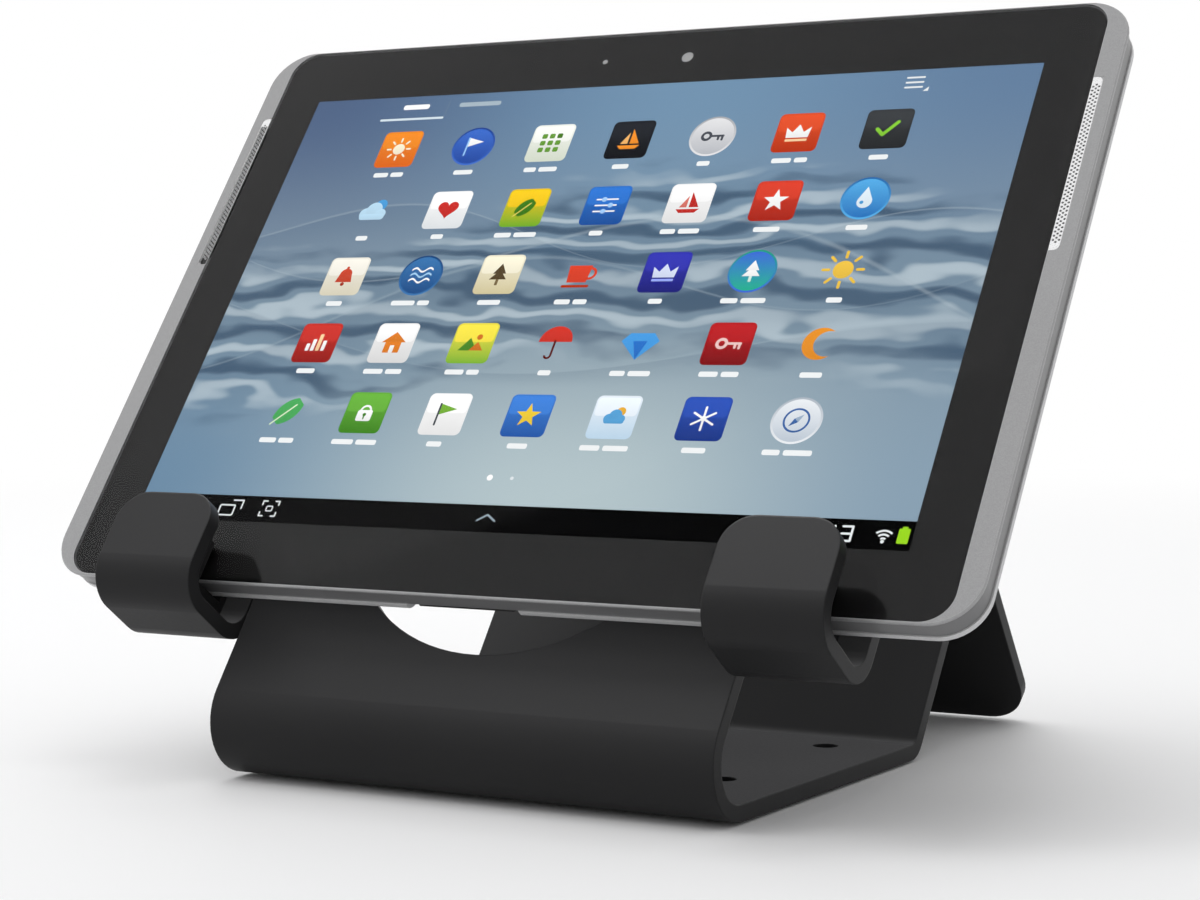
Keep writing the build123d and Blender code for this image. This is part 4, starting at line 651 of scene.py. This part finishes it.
for number, tile in enumerate(tiles):
    bars, style, kind, mainTone, secondTone, *ownTones = tile.split()
    topTone, lowTone = ownTones or (None, None)
    cx = lay["firstX"] + number % lay["columns"] * lay["stepX"]
    cy = lay["firstUp"] + number // lay["columns"] * lay["stepUp"]
    if style == "tile":
        plate(tileMesh, roundBox(cx, cy, 2 * half, 2 * half, lay["corner"]), depth, layer,
              paint(topTone), paint(lowTone))
        shine = roundBox(cx, cy + half * lay["shineRise"], 2 * half - lay["shineInset"],
                         half * lay["shineHeight"], lay["shineCorner"])
        plate(tileMesh, shine, lay["shineDepth"], lay["shineLayer"],
              paint(topTone, lay["shineGain"]), paint(topTone))
    if style == "disc":
        plate(tileMesh, arc(cx, cy, half * lay["rim"], count=lay["steps"]), depth, layer,
              paint(lowTone, lay["rimShade"]), paint(topTone))
        plate(tileMesh, arc(cx, cy, half * lay["face"], count=lay["steps"]), lay["shineDepth"],
              lay["shineLayer"], paint(topTone), paint(lowTone))
    reach = half * lay["reach"][style]
    for order, outline in enumerate(pictures[kind]):
        tone = mainTone
        if outline[0] == "second":
            tone, outline = secondTone, outline[1]
        shape = [(cx + x * reach, cy + y * reach) for x, y in outline]
        plate(pictureMesh, shape, lay["pictureDepth"] - order * lay["pictureStep"], lay["pictureLayer"],
              paint(tone), paint(tone, lay["pictureShade"]))
    lengths = [shuffled.uniform(captionLook["shortest"], captionLook["longest"]) for _ in range(int(bars))]
    at = cx - (sum(lengths) + captionLook["gap"] * (len(lengths) - 1)) / 2
    for length in lengths:
        bar = roundBox(at + length / 2, cy - captionLook["drop"], length, captionLook["height"],
                       captionLook["corner"])
        plate(captionMesh, bar, depth, layer, paint(captionLook["tone"]))
        at += length + captionLook["gap"]
print("screen tiles made:", len(tiles))


# The black bar along the bottom of the screen, and the small signs at its foot and its head
barLook = {"top": -62.4, "bottom": -70.3, "width": 217.4, "depth": 1.08, "layer": 0.06, "corner": 0.01,
           "signDepth": 1.0, "signLayer": 0.03, "line": 0.42, "lineCorner": 0.4}
signTones = {"black": "020202", "pale": "e8ecee", "dim": "a9bac6", "cyan": "d8e6ee", "green": "9bd824",
             "white": "ffffff", "grey": "6d8296", "soft": "dfe6ea"}
barMesh = bmesh.new()
barMiddle, barHeight = (barLook["top"] + barLook["bottom"]) / 2, barLook["top"] - barLook["bottom"]
plate(barMesh, roundBox(0, barMiddle, barLook["width"], barHeight, barLook["corner"], 1),
      barLook["depth"], barLook["layer"], paint(signTones["black"]))


def sign(outline, tone="pale"):
    plate(barMesh, outline, barLook["signDepth"], barLook["signLayer"], paint(signTones[tone]))


# Open boxes: x, up, width, height and the share of the usual line
for x, up, width, height, share in (
        (-80.3, -66.9, 4.6, 3.0, 1.0), (-67.1, -66.0, 1.8, 1.4, 0.8), (-103.0, -66.2, 3.4, 2.6, 1.0)):
    line = barLook["line"] * share
    for end in (1, -1):
        sign(roundBox(x, up + end * height / 2, width, line, line * barLook["lineCorner"], 2))
        sign(roundBox(x + end * width / 2, up, line, height, line * barLook["lineCorner"], 2))

# Strokes: both ends, the share of the usual line and a tone. The first two are a sheet behind another
signStrokes = [
    (-79.0, -63.9, -75.9, -63.9, 1.0, "pale"), (-75.9, -63.9, -75.9, -66.3, 1.0, "pale"),
    (-92.4, -66.2, -90.0, -64.4, 1.0, "pale"), (-92.4, -66.2, -90.0, -68.0, 1.0, "pale"),
    (-4.6, -66.9, -2.1, -65.2, 1.1, "dim"), (0.4, -66.9, -2.1, -65.2, 1.1, "dim"),
]
midX, midUp, halfWidth, halfHeight, innerX, innerUp = -67.1, -66.0, 2.5, 2.2, 1.3, 1.1
for sx in (-1, 1):
    for sy in (-1, 1):
        cornerX, cornerUp = midX + sx * halfWidth, midUp + sy * halfHeight
        signStrokes += [(cornerX, cornerUp, midX + sx * innerX, cornerUp, 1.0, "pale"),
                        (cornerX, cornerUp, cornerX, midUp + sy * innerUp, 1.0, "pale")]
for x0, up0, x1, up1, share, tone in signStrokes:
    sign(stroke(x0, up0, x1, up1, barLook["line"] * share), tone)

# Filled bars: x, up, width, height, corner, its steps and a tone
signBars = [
    (106.3, -66.4, 2.7, 3.9, 0.25, 5, "green"), (106.3, -64.2, 1.3, 0.5, 0.1, 2, "green"),
    (-73.9, 66.5, 8.6, 1.7, 0.7, 5, "white"), (-74.0, 62.2, 21.0, 0.75, 0.3, 5, "cyan"),
    (-53.0, 66.5, 13.4, 1.5, 0.6, 5, "dim"), (-63.4, 65.8, 0.18, 5.0, 0.05, 2, "grey"),
    *[(75.6, up, 5.0, 0.55, 0.2, 5, "pale") for up in (67.8, 66.2, 64.6)],
]
for *box, tone in signBars:
    sign(roundBox(*box), tone)

# Dots: x, up, radius, steps and a tone
signDots = [(101.6, -68.0, 0.45, 28, "pale"), (-5.4, -54.6, 0.85, 20, "white"), (0.9, -54.6, 0.5, 16, "soft"),
            (86.0, -65.4, 0.3, 10, "pale"), (86.0, -67.2, 0.3, 10, "pale")]
for x, up, radius, count, tone in signDots:
    sign(arc(x, up, radius, count=count), tone)

# Signal arcs, and the small corner by the three lines
signal = {"x": 101.6, "up": -68.0, "radii": (1.1, 2.1, 3.1), "line": 0.5, "from": 48, "to": 132, "steps": 10}
for radius in signal["radii"]:
    sign(band(signal["x"], signal["up"], radius, radius - signal["line"], signal["from"], signal["to"],
              signal["steps"]))
sign([(78.4, 63.2), (79.8, 63.2), (79.8, 64.6)])

# Digits, each of seven segments
digitUp, digitWidth, digitHalf, digitLine = -66.3, 2.4, 1.9, 0.55
segments = {"2": "abged", "3": "abgcd", "4": "fgbc"}
segmentLines = {"a": (0, 1, 1, 1), "b": (1, 1, 1, 0), "c": (1, 0, 1, -1), "d": (0, -1, 1, -1),
                "e": (0, 0, 0, -1), "f": (0, 1, 0, 0), "g": (0, 0, 1, 0)}
for digitX, digit in ((82.6, "2"), (87.0, "4"), (91.4, "3")):
    for key in segments[digit]:
        x0, y0, x1, y1 = segmentLines[key]
        sign(stroke(digitX + x0 * digitWidth, digitUp + y0 * digitHalf,
                    digitX + x1 * digitWidth, digitUp + y1 * digitHalf, digitLine))
for name, mesh in (("screen_tiles", tileMesh), ("screen_pictures", pictureMesh),
                   ("screen_captions", captionMesh), ("screen_bars", barMesh)):
    makePiece(name, mesh, ["screen_items"])
print("screen bars made")


# Cover glass, with a softened edge all round
glassSheet = {"top": 0, "size": (245.2, 176.4, 0.76), "corner": 7.6, "soft": 0.22, "steps": 16}
glassMesh = bmesh.new()
block(glassMesh, 0, 0, glassSheet)
glassPiece = makePiece("cover_glass_sheet", glassMesh, ["clear_glass"], smoothAngle=50)
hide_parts("cover_glass")

# Speaker grilles: a pale punched strip over a dark gauze, with silver in the corners of its slot
grilleLook = {"x": 123.95, "up": 38.0, "width": 2.6, "length": 52.4, "corner": 1.5, "innerCorner": 0.15,
              "cornerSteps": 7, "top": -0.05, "depth": 0.5, "soft": 0.05, "hole": 0.31, "holeSteps": 14,
              "rowStep": 1.22, "columnStep": 0.74, "margin": 1.3, "fillerTop": -0.02, "fillerSoft": 0.01}
gauzeLook = {"top": -0.64, "size": (2.1, 51.9, 0.08), "corner": 0.3, "soft": 0.02}
look = grilleLook
for side, sideName in ((-1, "left"), (1, "right")):
    x, up, width, length = side * look["x"], look["up"], look["width"], look["length"]
    steps = look["cornerSteps"]
    edge = []
    for cx, cy, start in boxCorners:
        corner = look["corner"] if cx == side else look["innerCorner"]
        edge += arc(x + cx * (width / 2 - corner), up + cy * (length / 2 - corner),
                    corner, start, start + 90, steps)
    outlines = [edge]
    rows = int((length - 2 * look["margin"]) / look["rowStep"])
    for column in (-1, 0, 1):
        count = rows if column == 0 else rows - 1
        for row in range(count):
            holeUp = up + (row - (count - 1) / 2) * look["rowStep"]
            holeX = x + column * look["columnStep"]
            outlines.append(arc(holeX, holeUp, look["hole"], count=look["holeSteps"]))
    fillers = []
    for end in (-1, 1):
        cornerX, cornerUp, turn = x + side * width / 2, up + end * length / 2, look["corner"]
        start = math.degrees(math.atan2(end, side)) - 45
        fillers.append([(cornerX, cornerUp)] + arc(
            cornerX - side * turn, cornerUp - end * turn, turn, start, start + 90, steps))
    filler = punched(fillers, look["fillerTop"], look["depth"], look["fillerSoft"])
    makePiece("grille_corners_" + sideName, filler, ["silver_plastic"])
    strip = punched(outlines, look["top"], look["depth"], look["soft"])
    block(strip, x, up, gauzeLook, materialIndex=1)
    grillePiece = makePiece("grille_strip_" + sideName, strip, ["pale_mesh", "speaker_black"])
    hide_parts("speaker_grille_" + sideName)
print("glass and grilles made")


# Front camera, rear camera and light sensor: a square housing, a stepped barrel and a domed lens
housingEdge = {"corner": 1.0, "soft": 0.15}


def makeCamera(name, look):
    mesh = bmesh.new()
    x, y = look["place"]
    lathe(mesh, look["barrel"], x, y)
    lathe(mesh, look["lens"], x, y, materialIndex=1)
    block(mesh, x, y, {**look, **housingEdge})
    piece = makePiece(name, mesh, look["finishes"], smoothAngle=30)
    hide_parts(look["node"])


makeCamera("front_camera_lens", {
    "place": (7.4, 79.1), "node": "front_camera", "slot": "dark_metal",
    "finishes": ["sensor_window", "dark_metal"], "top": -0.95, "size": (7.0, 7.0, 2.5),
    "barrel": [(0.0, -1.6), (0.9, -1.6), (0.95, -1.25), (1.1, -1.05), (1.15, -0.86), (1.3, -0.82),
               (1.55, -0.82), (1.63, -0.86), (1.64, -0.95), (1.64, -1.3)],
    "lens": [(0.95, -1.22), (0.8, -1.12), (0.55, -1.02), (0.3, -0.97), (0.0, -0.95)],
})
makeCamera("light_sensor_lens", {
    "place": (-17.7, 79.1), "node": "light_sensor", "slot": "connector_black",
    "finishes": ["connector_black", "sensor_window"], "top": -0.95, "size": (3.0, 3.0, 0.9),
    "barrel": [(0.0, -1.4), (0.6, -1.4), (0.66, -1.0), (0.72, -0.9), (0.79, -0.87), (0.80, -0.93),
               (0.80, -1.2)],
    "lens": [(0.74, -0.9), (0.6, -0.86), (0.35, -0.835), (0.0, -0.825)],
})
makeCamera("rear_camera_lens", {
    "place": (0.0, 72.0), "node": "rear_camera_module", "slot": "dark_metal",
    "finishes": ["dark_metal", "black_glass"], "top": -4.85, "size": (9.0, 9.0, 3.3),
    "barrel": [(3.0, -7.6), (3.0, -9.0), (2.9, -9.1), (2.4, -9.1), (2.3, -9.05), (2.2, -8.95), (2.0, -8.9),
               (1.9, -8.8), (1.5, -8.7), (1.4, -8.6), (0.0, -8.6)],
    "lens": [(1.55, -8.74), (1.3, -8.88), (0.9, -8.98), (0.45, -9.03), (0.0, -9.05)],
})
print("cameras and sensor made")


# Foam pads: soft rounded sides that waver a little, and a nearly flat top where they carry the tablet.
# The profile is the inset of each ring and its share of the height
padShape = {
    "profile": [(0.45, 0.0), (0.16, 0.12), (0.04, 0.30), (0.0, 0.48), (0.05, 0.66), (0.2, 0.83),
                (0.5, 0.94), (1.1, 0.985), (2.4, 1.0), (4.4, 1.0)],
    "leastCorner": 0.3, "steps": 7, "sway": 0.05, "swayTurn": 31.4, "swayLean": 3, "jitter": 0.012,
    "pull": 0.02,
}


def makePads(name, look):
    mesh = bmesh.new()
    waver = random.Random(look["seed"])
    softness, jitter = look["softness"], padShape["jitter"]
    for x, y, width, tall, radius in look["pads"]:
        rings = []
        for inset, share in padShape["profile"]:
            inset *= softness
            outline = roundBox(x, y, width - 2 * inset, tall - 2 * inset,
                               max(radius - inset, padShape["leastCorner"]), padShape["steps"])
            points = []
            for i, (px, py) in enumerate(outline):
                turn = padShape["swayTurn"] * i / len(outline) + share * padShape["swayLean"]
                sway = padShape["sway"] * softness * math.sin(turn) + waver.uniform(-jitter, jitter)
                inward = Vector((x - px, y - py, 0)).normalized() * (abs(sway) + padShape["pull"])
                points.append(mesh.verts.new((px + inward.x, py + inward.y,
                                              look["bottom"] + look["height"] * share)))
            rings.append(points)
        skin(mesh, rings)
    piece = makePiece(name, mesh, ["grey_foam"], look["body"], smoothAngle=60)
    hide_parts(look["node"])


makePads("back_foam_pads", {
    "node": "back_pads", "body": "stand", "bottom": -12.0, "height": 2.0, "softness": 1.0, "seed": 3,
    "pads": [(-85.3, -45.6, 20, 26, 3), (85.3, -45.6, 20, 26, 3), (-50, 9.4, 30, 14, 3),
             (50, 9.4, 30, 14, 3)],
})
makePads("mounting_tape", {
    "node": "adhesive_pad", "body": "tablet", "bottom": -10.2, "height": 0.5, "softness": 0.3, "seed": 5,
    "pads": [(0, -58.0, 60, 50, 6)],
})
print("foam made")


# Gold contacts on a thin tongue inside the dock connector
tongueLook = {"x": -4.5, "up": -86.0, "top": -8.40, "size": (20.6, 1.2, 0.30), "corner": 0.05, "soft": 0.04}
contactLook = {"count": 30, "pitch": 0.66, "top": -8.37, "size": (0.34, 1.0, 0.05), "corner": 0.02,
               "soft": 0.012, "steps": 1}
tongueMesh, goldMesh = bmesh.new(), bmesh.new()
block(tongueMesh, tongueLook["x"], tongueLook["up"], tongueLook)
makePiece("dock_tongue", tongueMesh, ["connector_black"])
for i in range(contactLook["count"]):
    x = tongueLook["x"] + (i - (contactLook["count"] - 1) / 2) * contactLook["pitch"]
    block(goldMesh, x, tongueLook["up"], contactLook)
makePiece("dock_contacts", goldMesh, ["contact_gold"])
print("dock contacts made")


# Weld beads along X where the rear wall meets the leg, rippled and thinner at their ends
weldLook = {"half": 66.0, "radius": 1.5, "rippleDepth": 0.16, "ripplePerMm": 3.927, "jitter": 0.03,
            "endRun": 2.0, "endShare": 0.25, "lean": 0.35, "steps": 330, "sides": 10, "seed": 11}


def makeWeld(name, y, z):
    mesh = bmesh.new()
    rings = []
    waver = random.Random(weldLook["seed"])
    half, jitter = weldLook["half"], weldLook["jitter"]
    for i in range(weldLook["steps"] + 1):
        x = -half + 2 * half * i / weldLook["steps"]
        end = min(1.0, (half - abs(x)) / weldLook["endRun"] + weldLook["endShare"])
        ripple = weldLook["rippleDepth"] * math.sin(weldLook["ripplePerMm"] * x)
        radius = weldLook["radius"] * end ** 0.5 + ripple + waver.uniform(-jitter, jitter)
        rings.append([mesh.verts.new((x + weldLook["lean"] * (py - y) / radius, py, pz))
                      for py, pz in arc(y, z, radius, count=weldLook["sides"])])
    skin(mesh, rings)
    return makePiece(name, mesh, ["black_coat"], "stand", standPlace, 60)


upperWeld = makeWeld("weld_bead_upper", 80.7, 56.6)
lowerWeld = makeWeld("weld_bead_lower", 83.9, 51.7)
print("weld beads made")


# Floor, whose colour gives way to white in the distance but keeps the object's shadow
floorLook = {"height": -0.8, "radii": (0.0, 300.0, 900.0, 4000.0), "steps": 64, "near": 450, "far": 1500,
             "color": (0.93, 0.93, 0.935, 1), "rough": 0.6, "specular": 0.1}
floorMesh = bmesh.new()
lathe(floorMesh, [(radius, floorLook["height"]) for radius in floorLook["radii"]], 0, 0,
      count=floorLook["steps"])
paleFloor = placeMesh("paleFloor", floorMesh, standPlace)
tree, shader = startMaterial("paleFloor", {
    "Base Color": floorLook["color"], "Roughness": floorLook["rough"],
    "Specular IOR Level": floorLook["specular"]})
paleFloor.data.materials.append(materials["paleFloor"])
place = addNode(tree, "TexCoord").outputs["Object"]
away = addNode(tree, "VectorMath", {0: place}, operation="LENGTH").outputs["Value"]
farShare = remap(tree, away, floorLook["near"] * mm, floorLook["far"] * mm)
glow = addNode(tree, "Emission", {"Color": (1, 1, 1, 1), "Strength": 1.0}).outputs[0]
joined = addNode(tree, "MixShader", {
    0: calc(tree, "MULTIPLY", seenDirectly(tree), farShare), 1: shader.outputs[0], 2: glow}).outputs[0]
tree.links.new(joined, tree.nodes["Material Output"].inputs["Surface"])

# World: white where it is seen, softer where it lights, and dimmer on the right than on the left
worldLook = {"light": 0.80, "lean": 0.35, "seen": 1.0}
world = bpy.data.worlds.new("whiteRoom")
scene.world = world
world.use_nodes = True
tree = world.node_tree
background = tree.nodes["Background"]
background.inputs["Color"].default_value = (1, 1, 1, 1)
rightward = addNode(tree, "SeparateXYZ", {0: addNode(tree, "TexCoord").outputs["Generated"]}).outputs[0]
lighting = calc(tree, "MULTIPLY_ADD", rightward, -worldLook["light"] * worldLook["lean"], worldLook["light"])
strength = remap(tree, seenDirectly(tree), 0.0, 1.0, lighting, worldLook["seen"], "LINEAR")
tree.links.new(strength, background.inputs["Strength"])

# Soft studio lamps: name, place, size and power. The last two light the stand's sheet and welds alone,
# without shadows, so that they reach into its channel
lampAim = Vector((0, 0, 60))
lamps = [
    ("keyLamp", (-900, -700, 1300), 700, 3.9),
    ("backLamp", (-800, 900, 1200), 700, 2.6),
    ("topLamp", (0, 100, 1600), 700, 2.4),
    ("fillLamp", (-420, 140, 1330), 900, 27.0),
    ("channelLamp", (-250, 850, 1060), 900, 46.0),
]
fillReceivers = bpy.data.collections.new("fillReceivers")
for receiver in (nodes["stand_frame"], upperWeld, lowerWeld):
    fillReceivers.objects.link(receiver)
for name, place, size, power in lamps:
    data = bpy.data.lights.new(name, "AREA")
    data.size = size * mm
    data.energy = power
    made = bpy.data.objects.new(name, data)
    made.location = Vector(place) * mm
    made.rotation_euler = (lampAim - Vector(place)).to_track_quat("-Z", "Y").to_euler()
    made.visible_camera = False
    made.visible_transmission = False
    # Only the fill shows as a reflection, so that no lamp is a patch in the glass
    made.visible_glossy = name == "fillLamp"
    if name in ("fillLamp", "channelLamp"):
        data.use_shadow = False
        made.light_linking.receiver_collection = fillReceivers
    scene.collection.objects.link(made)
print("floor, world and lamps made")
